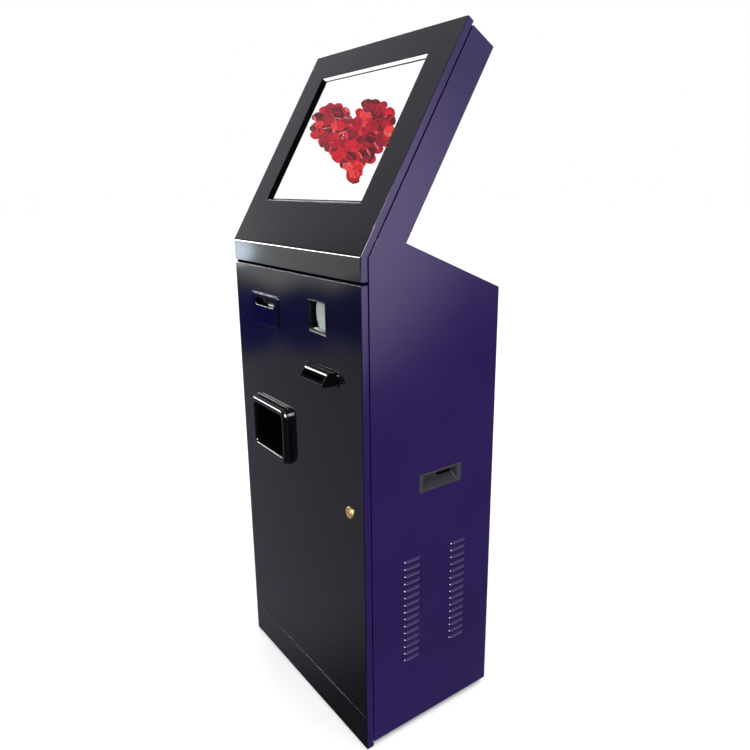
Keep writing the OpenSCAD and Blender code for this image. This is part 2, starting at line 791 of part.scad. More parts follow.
module lock_plug() {
  color(brass) difference() {
    union() {
      rod_y(plug_r, -3.4, cam_y, lock_x, lock_z);
      rod_y(3, cam_y - 1, cam_y + 3, lock_x, lock_z);
      rod_y(5, cam_y + 3, cam_y + 6, lock_x, lock_z);
    }
    block([lock_x - 0.8, -4, lock_z - 4], [lock_x + 0.8, 8, lock_z + 4]);
  }
}

// Cam, hanging down: the door is unlocked
module lock_cam() {
  half = 8;
  color(zinc) difference() {
    union() {
      rod_y(half, cam_y, cam_y + 3, lock_x, lock_z);
      block([lock_x - half, cam_y, lock_z - cam_len + half], [lock_x + half, cam_y + 3, lock_z]);
      rod_y(half, cam_y, cam_y + 3, lock_x, lock_z - cam_len + half);
    }
    rod_y(3, cam_y - 1, cam_y + 4, lock_x, lock_z);
  }
}

// ---------------------------------------------------------------- head door

// Cross-section of the head door between depths d0 and d1, ends pulled in by trim
module head_door_strip(d0, d1, trim) {
  s0 = (d0 - d0 * cos(tilt)) / sin(tilt);
  s1 = (d1 - d1 * cos(tilt)) / sin(tilt);
  polygon([
    [d0, head_z + trim], slope_pt(d0, s0), slope_pt(d0, head_len - trim),
    slope_pt(d1, head_len - trim), slope_pt(d1, s1), [d1, head_z + trim]]);
}

module screen_window(grow, d0, d1) {
  on_slope() block([-screen_w / 2 - grow, d0, screen_lo - grow], [screen_w / 2 + grow, d1, screen_hi + grow]);
}

module head_door_shell() {
  color(purple) difference() {
    along_x(-half_w, half_w) head_door_strip(face_t, door_t, 0);
    along_x(-in_w, in_w) head_door_strip(face_t + sheet, door_t + 5, sheet);
    screen_window(0, -5, 30);
  }
}

module head_door_face() {
  color(black_gloss) difference() {
    along_x(-half_w + 0.8, half_w - 0.8) head_door_strip(0, face_t - bond, 0.8);
    screen_window(0, -5, 30);
  }
}

module screen_surround() {
  rim = 18;
  color(black_plastic) difference() {
    screen_window(rim, face_t + sheet + bond, screen_deep);
    screen_window(0, 0, screen_deep + 1);
  }
}

module touch_glass() { color("#20242a") screen_window(12, screen_deep, screen_deep + 3); }

module lcd_panel() { color("#e9eaee") screen_window(10, screen_deep + 3, screen_deep + 16); }

// Rear housing: an inner box and two bars that bolt to the door's sheet
module monitor_housing() {
  d0 = screen_deep + 16;
  color(dark_grey) on_slope() {
    block([-screen_w / 2 - 8, d0, screen_lo - 8], [screen_w / 2 + 8, d0 + 12, screen_hi + 8]);
    block([-130, d0 + 12, screen_lo + 40], [130, d0 + 30, screen_hi - 40]);
    for (side = [-1, 1]) mirror([side < 0 ? 1 : 0, 0, 0]) {
      block([screen_w / 2 + 19, face_t + sheet, screen_lo + 20], [screen_w / 2 + 21, d0 + 14, screen_hi - 20]);
      block([screen_w / 2 - 20, d0 + 12, screen_lo + 20], [screen_w / 2 + 19, d0 + 14, screen_hi - 20]);
    }
  }
}

module head_hinge_leaves() {
  half = 20;
  color(zinc) on_slope() for (x = head_hinge_x) difference() {
    union() {
      rod_x(head_knuckle_r, x - half / 3, x + half / 3, head_axis_d, head_axis_s);
      block([x - half / 3, head_axis_d, top_s], [x + half / 3, head_axis_d + 4, top_s + 1.2]);
      block([x - half, head_axis_d + 4, top_s], [x + half, head_axis_d + 26, top_s + 1.2]);
    }
    rod_x(head_pin_r + run_gap, x - half, x + half, head_axis_d, head_axis_s);
  }
}

module head_door_hinge_leaves() {
  half = 20;
  leaf_s = head_len - sheet;
  color(zinc) on_slope() for (x = head_hinge_x) difference() {
    union() {
      for (side = [-1, 1]) let (cx = x + side * (half * 2 / 3 + 0.2)) {
        rod_x(head_knuckle_r, cx - half / 3, cx + half / 3, head_axis_d, head_axis_s);
        block([cx - half / 3, face_t + sheet, leaf_s - 1.2], [cx + half / 3, head_axis_d, leaf_s]);
      }
    }
    rod_x(head_pin_r, x - 2 * half, x + 2 * half, head_axis_d, head_axis_s);
  }
}

module head_hinge_pins() {
  color(zinc) on_slope() for (x = head_hinge_x)
    rod_x(head_pin_r, x - 21, x + 21, head_axis_d, head_axis_s);
}

// ---------------------------------------------------------------- node list

placed() side_panel_right();
placed() side_panel_left();
placed() roof_panel();
placed() head_back_panel();
placed() head_top_panel();
placed() rear_cover();
placed() rear_cover_screws();
placed() rear_sill();
placed() cover_flanges();
placed() base_pan();
placed() cross_rail();
placed() lock_jamb();
placed() plinth_shell();
placed() plinth_face();
placed() door_bumpers();
placed() levelling_feet();
placed() handle_right();
placed() handle_left();
placed() computer_case();
placed() power_supply();
placed() fan_frame();
placed() fan_rotor();
placed() power_inlet();
placed() rocker_switch();
placed() cable_grommet();
placed() door_hinge_arms();
placed() head_hinge_leaves();
placed() latch_housing();
placed() latch_bolt();
placed() front_door_shell();
placed() front_door_face();
placed() door_hinge_leaves();
placed() door_hinge_pins();
placed() card_reader_bezel();
placed() card_reader_body();
placed() scanner_frame();
placed() scanner_window();
placed() scanner_module();
placed() bill_snout();
placed() bill_acceptor();
placed() cash_box_cradle();
placed() cash_box();
placed() printer_frame();
placed() paper_roll();
placed() platen_roller();
placed() ticket_chute();
placed() ticket_bin_frame();
placed() ticket_bin_tray();
placed() lock_barrel();
placed() lock_plug();
placed() lock_cam();
placed() head_door_shell();
placed() head_door_face();
placed() screen_surround();
placed() touch_glass();
placed() lcd_panel();
placed() monitor_housing();
placed() head_door_hinge_leaves();
placed() head_hinge_pins();
placed() latch_catch();
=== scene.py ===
"""Looks of a free-standing ticket vending machine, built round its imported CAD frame.

The CAD parts give every place and size. Each class below dresses one sub-assembly: sheet
parts are softened copies of their CAD nodes, and moulded or turned parts are modelled anew.
Lengths are in millimetres unless a name says otherwise; Blender's own values are in metres.
"""

from __future__ import annotations

import logging
import math
import random
from dataclasses import dataclass, field
from enum import Enum
from typing import Iterable, Sequence

import bmesh
import bpy
from mathutils import Matrix, Vector


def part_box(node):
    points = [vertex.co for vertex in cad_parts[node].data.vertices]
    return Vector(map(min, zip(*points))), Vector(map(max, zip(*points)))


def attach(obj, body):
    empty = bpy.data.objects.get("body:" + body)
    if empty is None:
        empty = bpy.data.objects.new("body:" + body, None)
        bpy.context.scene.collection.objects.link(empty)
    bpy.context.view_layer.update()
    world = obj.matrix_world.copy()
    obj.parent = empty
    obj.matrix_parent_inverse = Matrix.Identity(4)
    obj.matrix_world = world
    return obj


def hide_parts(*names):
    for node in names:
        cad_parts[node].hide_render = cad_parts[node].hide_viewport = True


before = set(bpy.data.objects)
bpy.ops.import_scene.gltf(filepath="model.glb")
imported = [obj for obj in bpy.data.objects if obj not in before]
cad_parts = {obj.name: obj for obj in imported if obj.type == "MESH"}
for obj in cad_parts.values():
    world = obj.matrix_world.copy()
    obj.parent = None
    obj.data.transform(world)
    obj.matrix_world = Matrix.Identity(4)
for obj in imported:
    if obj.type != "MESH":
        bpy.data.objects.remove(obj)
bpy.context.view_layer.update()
LOG = logging.getLogger("ticket_machine")

MM = 0.001
SLOPE_DEG = 30.6
PANEL_LEN = 472.4
FACE_T = 1.5
UP_Y, UP_Z = math.sin(math.radians(SLOPE_DEG)), math.cos(math.radians(SLOPE_DEG))
FRONT_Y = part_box("front_door_face")[0].y / MM
BASE_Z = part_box("plinth_shell")[0].z / MM
HALF_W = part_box("front_door_shell")[1].x / MM
FOLD_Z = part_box("head_door_shell")[1].z / MM + FACE_T * UP_Y - PANEL_LEN * UP_Z

Point = Sequence[float]
Pair = tuple[float, float]


class Body(Enum):
    """The CAD bodies that the new pieces ride on."""

    CABINET = "cabinet"
    FRONT_DOOR = "front_door"
    HEAD_DOOR = "head_door"
    LOCK = "lock"


class Axis(Enum):
    """Directions that a turned part can point in."""

    X = (0.0, math.pi / 2, 0.0)
    Y = (math.pi / 2, 0.0, 0.0)
    Z = (0.0, 0.0, 0.0)


def place(x: float, y: float, z: float) -> Vector:
    """Point in metres of a place given behind the front plane and above the plinth's edge."""
    return Vector((x * MM, (y + FRONT_Y) * MM, (z + BASE_Z) * MM))


def slope_matrix() -> Matrix:
    """Matrix that lays a part drawn upright behind the front plane onto the tilted head."""
    hinge = Vector((0.0, FRONT_Y * MM, FOLD_Z * MM))
    turn = Matrix.Rotation(math.radians(-SLOPE_DEG), 4, "X")
    return Matrix.Translation(hinge) @ turn @ Matrix.Translation(-hinge)


def slope_z(up: float) -> float:
    """Height above the plinth's edge of a place up the slope, before it is laid back."""
    return FOLD_Z - BASE_Z + up


def linear(code: str) -> tuple[float, float, float, float]:
    """Linear colour of an sRGB hex value.

    Args:
        code: the colour, such as "#33245f".

    Returns:
        Red, green, blue and alpha.
    """
    parts = [int(code[i : i + 2], 16) / 255 for i in (1, 3, 5)]
    low = [c / 12.92 if c <= 0.04045 else ((c + 0.055) / 1.055) ** 2.4 for c in parts]
    return (*low, 1.0)


# ------------------------------------------------------------------ finishes


def add_node(tree: bpy.types.NodeTree, kind: str, settings: dict[str | int, object] | None = None,
             links: dict[str | int, bpy.types.NodeSocket] | None = None) -> bpy.types.Node:
    """Adds a shader node.

    Args:
        tree: the node tree to add to.
        kind: the node's type name.
        settings: attributes, or inputs by name or position, with their values.
        links: inputs by name or position, with the sockets that feed them.

    Returns:
        The node.
    """
    node = tree.nodes.new(kind)
    for key, value in (settings or {}).items():
        if isinstance(key, int) or key in node.inputs:
            node.inputs[key].default_value = value
        else:
            setattr(node, key, value)
    for key, socket in (links or {}).items():
        tree.links.new(socket, node.inputs[key])
    return node


@dataclass(frozen=True)
class Wiring:
    """What a material's nodes are wired to.

    Attributes:
        tree: the material's node tree.
        shader: its principled shader.
        where: the socket that gives the place on the object.
    """

    tree: bpy.types.NodeTree
    shader: bpy.types.Node
    where: bpy.types.NodeSocket


@dataclass(frozen=True)
class Finish:
    """A surface: its colour, its gloss and the small relief its making leaves.

    Attributes:
        name: the material's name.
        slot: the record's material slot; not used here.
        colour: sRGB hex of the surface.
        shade: sRGB hex that the colour drifts towards.
        grain_mm: size of the relief's bumps.
        relief: strength of the relief, from 0 to 1.
        relief_mm: height of the relief.
        drift_mm: size of the colour's patches.
        rough: roughness, and rough_spread is how far it wanders.
        shader: further inputs of the principled shader.
        stretch: scale of the grain along X, Y and Z, for drawn or brushed metal.
    """

    name: str
    slot: str
    colour: str
    shade: str
    grain_mm: float
    relief: float
    relief_mm: float = 0.05
    drift_mm: float = 90.0
    rough: float = 0.3
    rough_spread: float = 0.05
    shader: dict[str, float] = field(default_factory=dict)
    stretch: tuple[float, float, float] = (1.0, 1.0, 1.0)

    def make(self) -> bpy.types.Material:
        """Makes the material, or finds it again once it is made.

        Returns:
            The material.
        """
        known = bpy.data.materials.get(self.name)
        if known:
            return known
        material = bpy.data.materials.new(self.name)
        material.use_nodes = True
        tree = material.node_tree
        where = add_node(tree, "ShaderNodeTexCoord").outputs["Object"]
        wiring = Wiring(tree, tree.nodes["Principled BSDF"], where)
        self.colour_nodes(wiring)
        self.relief_nodes(wiring)
        for key, value in self.shader.items():
            wiring.shader.inputs[key].default_value = value
        return material

    def colour_nodes(self, wiring: Wiring) -> None:
        """Lets the colour and the gloss drift a little over the surface.

        Args:
            wiring: what the nodes are wired to.
        """
        tree, shader = wiring.tree, wiring.shader
        patches = add_node(tree, "ShaderNodeTexNoise", {"Scale": 1000 / self.drift_mm, "Detail": 4.0},
                           {"Vector": wiring.where})
        ramp = add_node(tree, "ShaderNodeValToRGB", links={"Fac": patches.outputs["Fac"]})
        for element, position, colour in zip(ramp.color_ramp.elements, (0.3, 0.7), (self.shade, self.colour)):
            element.position = position
            element.color = linear(colour)
        tree.links.new(ramp.outputs["Color"], shader.inputs["Base Color"])
        spread = {"To Min": self.rough - self.rough_spread, "To Max": self.rough + self.rough_spread}
        gloss = add_node(tree, "ShaderNodeMapRange", spread, {"Value": patches.outputs["Fac"]})
        tree.links.new(gloss.outputs["Result"], shader.inputs["Roughness"])

    def relief_nodes(self, wiring: Wiring) -> None:
        """Raises the grain that the surface's making leaves.

        Args:
            wiring: what the nodes are wired to.
        """
        tree, shader = wiring.tree, wiring.shader
        mapping = add_node(tree, "ShaderNodeMapping", {"Scale": self.stretch}, {"Vector": wiring.where})
        grain = add_node(tree, "ShaderNodeTexNoise", {"Scale": 1000 / self.grain_mm, "Detail": 2.0},
                         {"Vector": mapping.outputs["Vector"]})
        bump = add_node(tree, "ShaderNodeBump", {"Strength": self.relief, "Distance": self.relief_mm * MM},
                        {"Height": grain.outputs["Fac"]})
        tree.links.new(bump.outputs["Normal"], shader.inputs["Normal"])
        if self.shader.get("Coat Weight"):
            tree.links.new(bump.outputs["Normal"], shader.inputs["Coat Normal"])


@dataclass(frozen=True)
class GlassFinish(Finish):
    """Clear or tinted sheet glass, with a faint waviness."""

    def colour_nodes(self, wiring: Wiring) -> None:
        """One clear tint, with a touch of wiped-on haze in the gloss.

        Args:
            wiring: what the nodes are wired to.
        """
        tree, shader = wiring.tree, wiring.shader
        shader.inputs["Base Color"].default_value = linear(self.colour)
        smear = add_node(tree, "ShaderNodeTexNoise", {"Scale": 1000 / self.drift_mm, "Detail": 5.0},
                         {"Vector": wiring.where})
        spread = {"To Min": self.rough, "To Max": self.rough + self.rough_spread}
        gloss = add_node(tree, "ShaderNodeMapRange", spread, {"Value": smear.outputs["Fac"]})
        tree.links.new(gloss.outputs["Result"], shader.inputs["Roughness"])


@dataclass(frozen=True)
class LitFinish(Finish):
    """A lit picture surface: it glows in its own colour, and mirrors nothing under its glass.

    Attributes:
        glow: strength of the light.
        unlit: sRGB hex of the surface under its own light.
    """

    glow: float = 1.0
    unlit: str = "#060606"

    def make(self) -> bpy.types.Material:
        """Makes the material, with its glow following its colour.

        Returns:
            The material.
        """
        known = bpy.data.materials.get(self.name)
        if known:
            return known
        material = super().make()
        tree = material.node_tree
        shader = tree.nodes["Principled BSDF"]
        shader.inputs["Emission Strength"].default_value = self.glow
        base = shader.inputs["Base Color"]
        tree.links.new(base.links[0].from_socket, shader.inputs["Emission Color"])
        tree.links.remove(base.links[0])
        base.default_value = linear(self.unlit)
        shader.inputs["Specular IOR Level"].default_value = 0.0
        return material


# Stoved gloss paint on steel: near-mirror reflections, broken by the faint orange peel of a sprayed coat
PURPLE_PAINT = Finish("stoved_purple_paint", "purple_paint", "#23124a", "#1f0f43", 2.4, 0.05, drift_mm=220.0,
                      rough=0.12, rough_spread=0.03, shader={"IOR": 1.46, "Specular IOR Level": 0.42})
BLACK_PAINT = Finish("stoved_black_paint", "black_paint", "#100f14", "#0d0c11", 2.8, 0.03, drift_mm=260.0,
                     rough=0.08, rough_spread=0.03, shader={"IOR": 1.46, "Specular IOR Level": 0.42})
# Injection-moulded ABS from a polished mould: deep black, with hardly any texture
GLOSS_ABS = Finish("polished_black_abs", "gloss_black_plastic", "#08080a", "#060607", 1.6, 0.02,
                   rough=0.07, rough_spread=0.02, shader={"IOR": 1.5, "Specular IOR Level": 0.5})
# ABS from a spark-eroded mould: an even satin grain that softens the highlights
SATIN_ABS = Finish("grained_black_abs", "matt_black_plastic", "#242426", "#1e1e20", 0.7, 0.25,
                   rough=0.42, shader={"IOR": 1.5, "Specular IOR Level": 0.3})
# The same ABS made black with no reflection at all: painted shade on the black parts in deep openings and
# behind the sheets, and on the sheets put there only to show shade
DEEP_SHADE_ABS = Finish("grained_black_shade_abs", "matt_black_plastic", "#0a0a0b", "#070708", 0.8, 0.2,
                  rough=0.6, shader={"IOR": 1.5, "Specular IOR Level": 0.0})
# Coarser moulded ABS of handles and cases: dull grey, with soft highlights
GREY_ABS = Finish("grained_grey_abs", "dark_grey_plastic", "#35363a", "#2e2f33", 0.9, 0.3, rough=0.45,
                  shader={"IOR": 1.5, "Specular IOR Level": 0.1})
# Pale ABS of the reading lens; on the card guide its pale colour is a painted highlight, and on the ledge
# under the lens painted light: milky and faintly shiny
PALE_ABS = Finish("grained_pale_abs", "dark_grey_plastic", "#cfd1cb", "#bfc1bb", 0.9, 0.15, rough=0.4)
# Nitrile rubber: dull and faintly dusty
RUBBER = Finish("nitrile_rubber", "matt_black_plastic", "#1b1b1b", "#232322", 1.2, 0.4, rough=0.75)
# Zinc plate with a clear passivate: bright, with drifting grey and a slight roll grain
ZINC = Finish("bright_zinc_plate", "zinc_steel", "#b9bdc2", "#9ba0a6", 0.5, 0.12, drift_mm=14.0,
              rough=0.32, rough_spread=0.1, shader={"Metallic": 1.0}, stretch=(1.0, 1.0, 0.15))
# Drawn bright trim, a painted highlight: the soft white line along the banknote mouth's lips
HIGHLIGHT_TRIM = Finish("painted_highlight_trim", "zinc_steel", "#f2f2ee", "#dededa", 0.4, 0.1, drift_mm=12.0,
                     rough=0.38, rough_spread=0.08, shader={"Metallic": 0.85}, stretch=(0.1, 1.0, 1.0))
# Rolled aluminium sheet: pale, with the faint lines of its rolling
ALUMINIUM = Finish("folded_aluminium", "power_supply_metal", "#c3c5c8", "#b2b5b9", 0.4, 0.12, drift_mm=30.0,
                   rough=0.38, shader={"Metallic": 1.0}, stretch=(0.1, 1.0, 1.0))
# Turned brass, slightly dulled by hands
BRASS = Finish("turned_brass", "brass", "#dcc08a", "#c4a368", 0.35, 0.15, drift_mm=6.0,
               rough=0.4, rough_spread=0.1, shader={"Metallic": 1.0})
# Red ABS from a polished mould: the switch's rocker shines
RED_ABS = Finish("moulded_red_abs", "red_plastic", "#93201b", "#7c1713", 0.8, 0.08, rough=0.2,
                 shader={"IOR": 1.54, "Coat Weight": 0.3})
# Thermal paper: smooth, dull and warm white
PAPER = Finish("thermal_paper", "paper", "#f2f0ea", "#e6e3db", 0.3, 0.3, drift_mm=8.0, rough=0.75)
# Toughened glass with an anti-glare coat, which mirrors far less than bare glass
CLEAR_GLASS = GlassFinish("toughened_glass", "touch_glass", "#ffffff", "#ffffff", 160.0, 0.01, drift_mm=120.0,
                          rough=0.0, rough_spread=0.01,
                          shader={"Transmission Weight": 1.0, "IOR": 1.12, "Specular IOR Level": 0.2})
# Tinted float glass: a grey-green cast over the lens behind it
TINT_GLASS = GlassFinish("tinted_window", "tinted_glass", "#c6cbc8", "#c6cbc8", 60.0, 0.02, drift_mm=60.0,
                         rough=0.02, rough_spread=0.03, shader={"Transmission Weight": 1.0, "IOR": 1.5})
# Back-lit liquid crystal: near white, a trace cooler towards the edges. Its glow on the strip along the
# opening's top wall is painted light, for that wall lit by the screen
LIT_WHITE = LitFinish("lit_white_picture", "screen", "#fefdfe", "#fbfafc", 0.3, 0.02, drift_mm=260.0,
                      rough=0.35, glow=1.12)
# Rose petals as the picture shows them: bright faces, deep shadows and pale turned-up rims
RED_PAIRS = (("#e01f2b", "#b80c20"), ("#c3142a", "#970d22"), ("#f2483e", "#d3222a"),
             ("#7a0f1c", "#3e0a11"), ("#a31c30", "#701020"), ("#ea7c80", "#c53a4a"))
LIT_REDS = [LitFinish(f"lit_petal_{i}", "screen", light, dark, 0.6, 0.02, drift_mm=9.0, rough=0.4)
            for i, (light, dark) in enumerate(RED_PAIRS)]
# Small printed marks: dark grey against the glowing strip, glowing faintly with its painted light
LIT_INK = LitFinish("lit_dark_line", "screen", "#3a3a3e", "#2c2c30", 0.5, 0.02, rough=0.4)
# Matt white studio board: even, with no gloss of its own
FLOOR_BOARD = Finish("matt_white_floor", "", "#fbfbfc", "#f8f8f9", 3.0, 0.02, drift_mm=900.0, rough=0.95)


# ------------------------------------------------------------------ bench tools


class Bench:
    """Modelling steps shared by all the sub-assemblies."""

    @staticmethod
    def clear() -> None:
        """Deselects everything."""
        if bpy.context.object and bpy.context.object.mode != "OBJECT":
            bpy.ops.object.mode_set(mode="OBJECT")
        bpy.ops.object.select_all(action="DESELECT")

    @staticmethod
    def pick(piece: bpy.types.Object) -> None:
        """Makes a piece the only selected and active one.

        Args:
            piece: the piece.
        """
        Bench.clear()
        piece.select_set(True)
        bpy.context.view_layer.objects.active = piece

    @staticmethod
    def settle(piece: bpy.types.Object, name: str) -> bpy.types.Object:
        """Applies a piece's place, turn and size to its mesh, and names it.

        Args:
            piece: the piece.
            name: its name.

        Returns:
            The piece.
        """
        Bench.pick(piece)
        bpy.ops.object.transform_apply(location=True, rotation=True, scale=True)
        piece.name = name
        piece.data.name = name
        return piece

    @staticmethod
    def block(name: str, low: Point, high: Point) -> bpy.types.Object:
        """A box between two corners.

        Args:
            name: its name.
            low: its lower corner, given as for place().
            high: its upper corner.

        Returns:
            The box.
        """
        a, b = place(*low), place(*high)
        Bench.clear()
        bpy.ops.mesh.primitive_cube_add(size=1.0, location=(a + b) / 2)
        bpy.ops.transform.resize(value=tuple(b - a))
        return Bench.settle(bpy.context.object, name)

    @staticmethod
    def rod(name: str, centre: Point, radius: float, length: float, axis: Axis,
            sides: int) -> bpy.types.Object:
        """A round or many-sided bar.

        Args:
            name: its name.
            centre: its middle, given as for place().
            radius: its radius.
            length: its length.
            axis: the way it points.
            sides: how many sides it has.

        Returns:
            The bar.
        """
        Bench.clear()
        bpy.ops.mesh.primitive_cylinder_add(vertices=sides, radius=radius * MM, depth=length * MM,
                                            location=place(*centre), rotation=axis.value)
        return Bench.settle(bpy.context.object, name)

    @staticmethod
    def apply(piece: bpy.types.Object, kind: str, **settings: object) -> None:
        """Adds a modifier and applies it.

        Args:
            piece: the piece to change.
            kind: the modifier's type name.
            settings: its settings by name.
        """
        Bench.pick(piece)
        modifier = piece.modifiers.new(kind.lower(), kind)
        for key, value in settings.items():
            setattr(modifier, key, value)
        bpy.ops.object.modifier_apply(modifier=modifier.name)

    @staticmethod
    def round_edges(piece: bpy.types.Object, radius: float, steps: int = 3, angle: float = 32.0) -> None:
        """Rounds a piece's edges that are sharper than an angle, and shades the rounds."""
        Bench.apply(piece, "BEVEL", width=radius * MM, segments=steps, limit_method="ANGLE",
                    angle_limit=math.radians(angle), miter_outer="MITER_ARC")
        Bench.shade(piece)

    @staticmethod
    def shade(piece: bpy.types.Object, angle: float = 38.0) -> bpy.types.Object:
        """Smooth shading except over sharp edges.

        Args:
            piece: the piece to shade.
            angle: how sharp an edge has to be to stay hard, in degrees.

        Returns:
            The piece.
        """
        Bench.pick(piece)
        bpy.ops.object.shade_smooth_by_angle(angle=math.radians(angle))
        Bench.apply(piece, "WEIGHTED_NORMAL", keep_sharp=True)
        return piece

    @staticmethod
    def carve(piece: bpy.types.Object, tool: bpy.types.Object, operation: str = "DIFFERENCE") -> None:
        """Cuts a tool's shape out of a piece, or keeps only what they share, and removes the tool."""
        Bench.apply(piece, "BOOLEAN", operation=operation, solver="EXACT", object=tool)
        bpy.data.objects.remove(tool)

    @staticmethod
    def join(name: str, pieces: Iterable[bpy.types.Object]) -> bpy.types.Object:
        """Joins pieces into one object.

        Args:
            name: its name.
            pieces: the pieces, the first of which takes in the others.

        Returns:
            The object.
        """
        parts = list(pieces)
        Bench.pick(parts[0])
        for part in parts[1:]:
            part.select_set(True)
        bpy.ops.object.join()
        return Bench.settle(parts[0], name)

    @staticmethod
    def copy_of(node: str, name: str) -> bpy.types.Object:
        """A CAD node's shape as a new piece, its loose triangles merged into clean faces.

        Args:
            node: the CAD node's name.
            name: the new piece's name.

        Returns:
            The new piece.
        """
        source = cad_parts[node]
        piece = bpy.data.objects.new(name, source.data.copy())
        bpy.context.scene.collection.objects.link(piece)
        piece.data.materials.clear()
        Bench.pick(piece)
        bpy.ops.object.mode_set(mode="EDIT")
        bpy.ops.mesh.select_all(action="SELECT")
        bpy.ops.mesh.remove_doubles(threshold=0.00001)
        bpy.ops.mesh.customdata_custom_splitnormals_clear()
        bpy.ops.mesh.tris_convert_to_quads(face_threshold=math.radians(1), shape_threshold=math.radians(170))
        bpy.ops.object.mode_set(mode="OBJECT")
        return piece

    @staticmethod
    def finish(piece: bpy.types.Object, look: Finish, body: Body, *nodes: str) -> None:
        """Dresses a piece and reports it.

        Args:
            piece: the piece.
            look: its finish.
            body: what it rides on.
            nodes: the CAD nodes that it stands for.
        """
        piece.data.materials.clear()
        piece.data.materials.append(look.make())
        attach(piece, body.value)
        if nodes:
            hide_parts(*nodes)
        LOG.info("%s: %d faces, on %s", piece.name, len(piece.data.polygons), body.value)

    @staticmethod
    def finish_on_slope(piece: bpy.types.Object, look: Finish, *nodes: str) -> None:
        """Turns a piece drawn upright onto the tilted head, and dresses it."""
        piece.data.transform(slope_matrix())
        Bench.finish(piece, look, Body.HEAD_DOOR, *nodes)


class Facing(Enum):
    """The side of the machine that a moulding is set into."""

    FRONT = "front"
    RIGHT = "right"
    LEFT = "left"

    def spot(self, across: float, depth: float, up: float) -> Vector:
        """Point in metres on this side of the machine.

        Args:
            across: place along the side.
            depth: depth inwards from the side's own plane.
            up: height above the plinth's edge.

        Returns:
            The point.
        """
        if self is Facing.FRONT:
            return place(across, depth, up)
        side = 1 if self is Facing.RIGHT else -1
        return place(side * (HALF_W - depth), across, up)


@dataclass(frozen=True)
class Ring:
    """One rounded outline of a moulding, square to the direction it is set in.

    Attributes:
        depth: how far the outline lies behind its side's plane.
        low: lower corner, across and up.
        high: upper corner, across and up.
        radius: corner radius.
    """

    depth: float
    low: Pair
    high: Pair
    radius: float

    def grown(self, depth: float, across: float = 0.0, up: float = 0.0, radius: float | None = None) -> Ring:
        """The same outline at another depth, larger on all sides, or smaller below zero.

        Args:
            depth: its depth.
            across: how much larger it is to each side.
            up: how much larger it is above and below.
            radius: its corner radius, if that changes.

        Returns:
            The other outline.
        """
        low, high = (self.low[0] - across, self.low[1] - up), (self.high[0] + across, self.high[1] + up)
        return Ring(depth, low, high, self.radius if radius is None else radius)

    def points(self, steps: int) -> list[Pair]:
        """The outline's points in order.

        Args:
            steps: steps round each corner.

        Returns:
            The points, with steps + 1 to each corner.
        """
        (x0, z0), (x1, z1), r = self.low, self.high, self.radius
        corners = [(x1 - r, z1 - r, 0), (x0 + r, z1 - r, 90), (x0 + r, z0 + r, 180), (x1 - r, z0 + r, 270)]
        found = []
        for cx, cz, start in corners:
            for i in range(steps + 1):
                angle = math.radians(start + 90 * i / steps)
                found.append((cx + r * math.cos(angle), cz + r * math.sin(angle)))
        return found


def disc(depth: float, centre: Pair, radius: float) -> Ring:
    """The ring of a turned part."""
    x, z = centre
    return Ring(depth, (x - radius, z - radius), (x + radius, z + radius), radius)


def edge_round(ring: Ring, size: float, inwards: bool = False, turns: int = 4) -> list[Ring]:
    """Rings of a rounded front edge.

    Args:
        ring: the full outline, at the depth where the flat front stands.
        size: radius of the rounded edge.
        inwards: False for an outer edge, from side to front; True for a mouth, from front to wall.
        turns: number of steps.

    Returns:
        The rings, in order along the skin.
    """
    rings = []
    for i in range(turns + 1):
        angle = math.pi / 2 * i / turns
        if inwards:
            grow, sink = size * (1 - math.sin(angle)), size * (1 - math.cos(angle))
        else:
            grow, sink = -size * (1 - math.cos(angle)), size * (1 - math.sin(angle))
        rings.append(ring.grown(ring.depth + sink, grow, grow, max(ring.radius + grow, 0.2)))
    return rings


def loft(name: str, rings: Sequence[Ring], facing: Facing = Facing.FRONT, steps: int = 7,
         looped: bool = True) -> bpy.types.Object:
    """A moulding whose skin runs through rounded outlines, one after another.

    Args:
        name: the piece's name.
        rings: the outlines, in order along the skin.
        facing: the side that it is set into.
        steps: steps round each corner.
        looped: whether the last ring joins the first; if not, both are closed by a flat face.

    Returns:
        The piece.
    """
    path = [*rings, rings[0]] if looped else list(rings)
    Bench.clear()
    bpy.ops.mesh.primitive_circle_add(vertices=4 * (steps + 1), radius=MM, location=(0, 0, 0),
                                      fill_type="NOTHING" if looped else "NGON")
    piece = bpy.context.object
    bpy.ops.object.mode_set(mode="EDIT")
    bpy.ops.mesh.select_mode(type="EDGE")
    corner = {i: i for i in range(4 * (steps + 1))}
    for n, ring in enumerate(path):
        if n:
            bpy.ops.mesh.extrude_edges_move()
        mesh = bmesh.from_edit_mesh(piece.data)
        mesh.verts.ensure_lookup_table()
        mesh.verts.index_update()
        spots = ring.points(steps)
        if n:
            fresh = {}
            for vert in (v for v in mesh.verts if v.select):
                before = next(e.other_vert(vert) for e in vert.link_edges if not e.other_vert(vert).select)
                fresh[vert.index] = corner[before.index]
            corner = fresh
        for index, at in corner.items():
            across, up = spots[at]
            mesh.verts[index].co = facing.spot(across, ring.depth, up)
        if n == 0:
            bpy.ops.mesh.select_all(action="SELECT")
            mesh = bmesh.from_edit_mesh(piece.data)
            for face in mesh.faces:
                face.select = False
            for edge in mesh.edges:
                edge.select = True
        bmesh.update_edit_mesh(piece.data)
    if not looped:
        bpy.ops.mesh.edge_face_add()
    bpy.ops.mesh.select_all(action="SELECT")
    bpy.ops.mesh.remove_doubles(threshold=0.000002)
    bpy.ops.mesh.normals_make_consistent(inside=False)
    bpy.ops.object.mode_set(mode="OBJECT")
    return Bench.shade(Bench.settle(piece, name), 50.0)


# ------------------------------------------------------------------ sub-assemblies


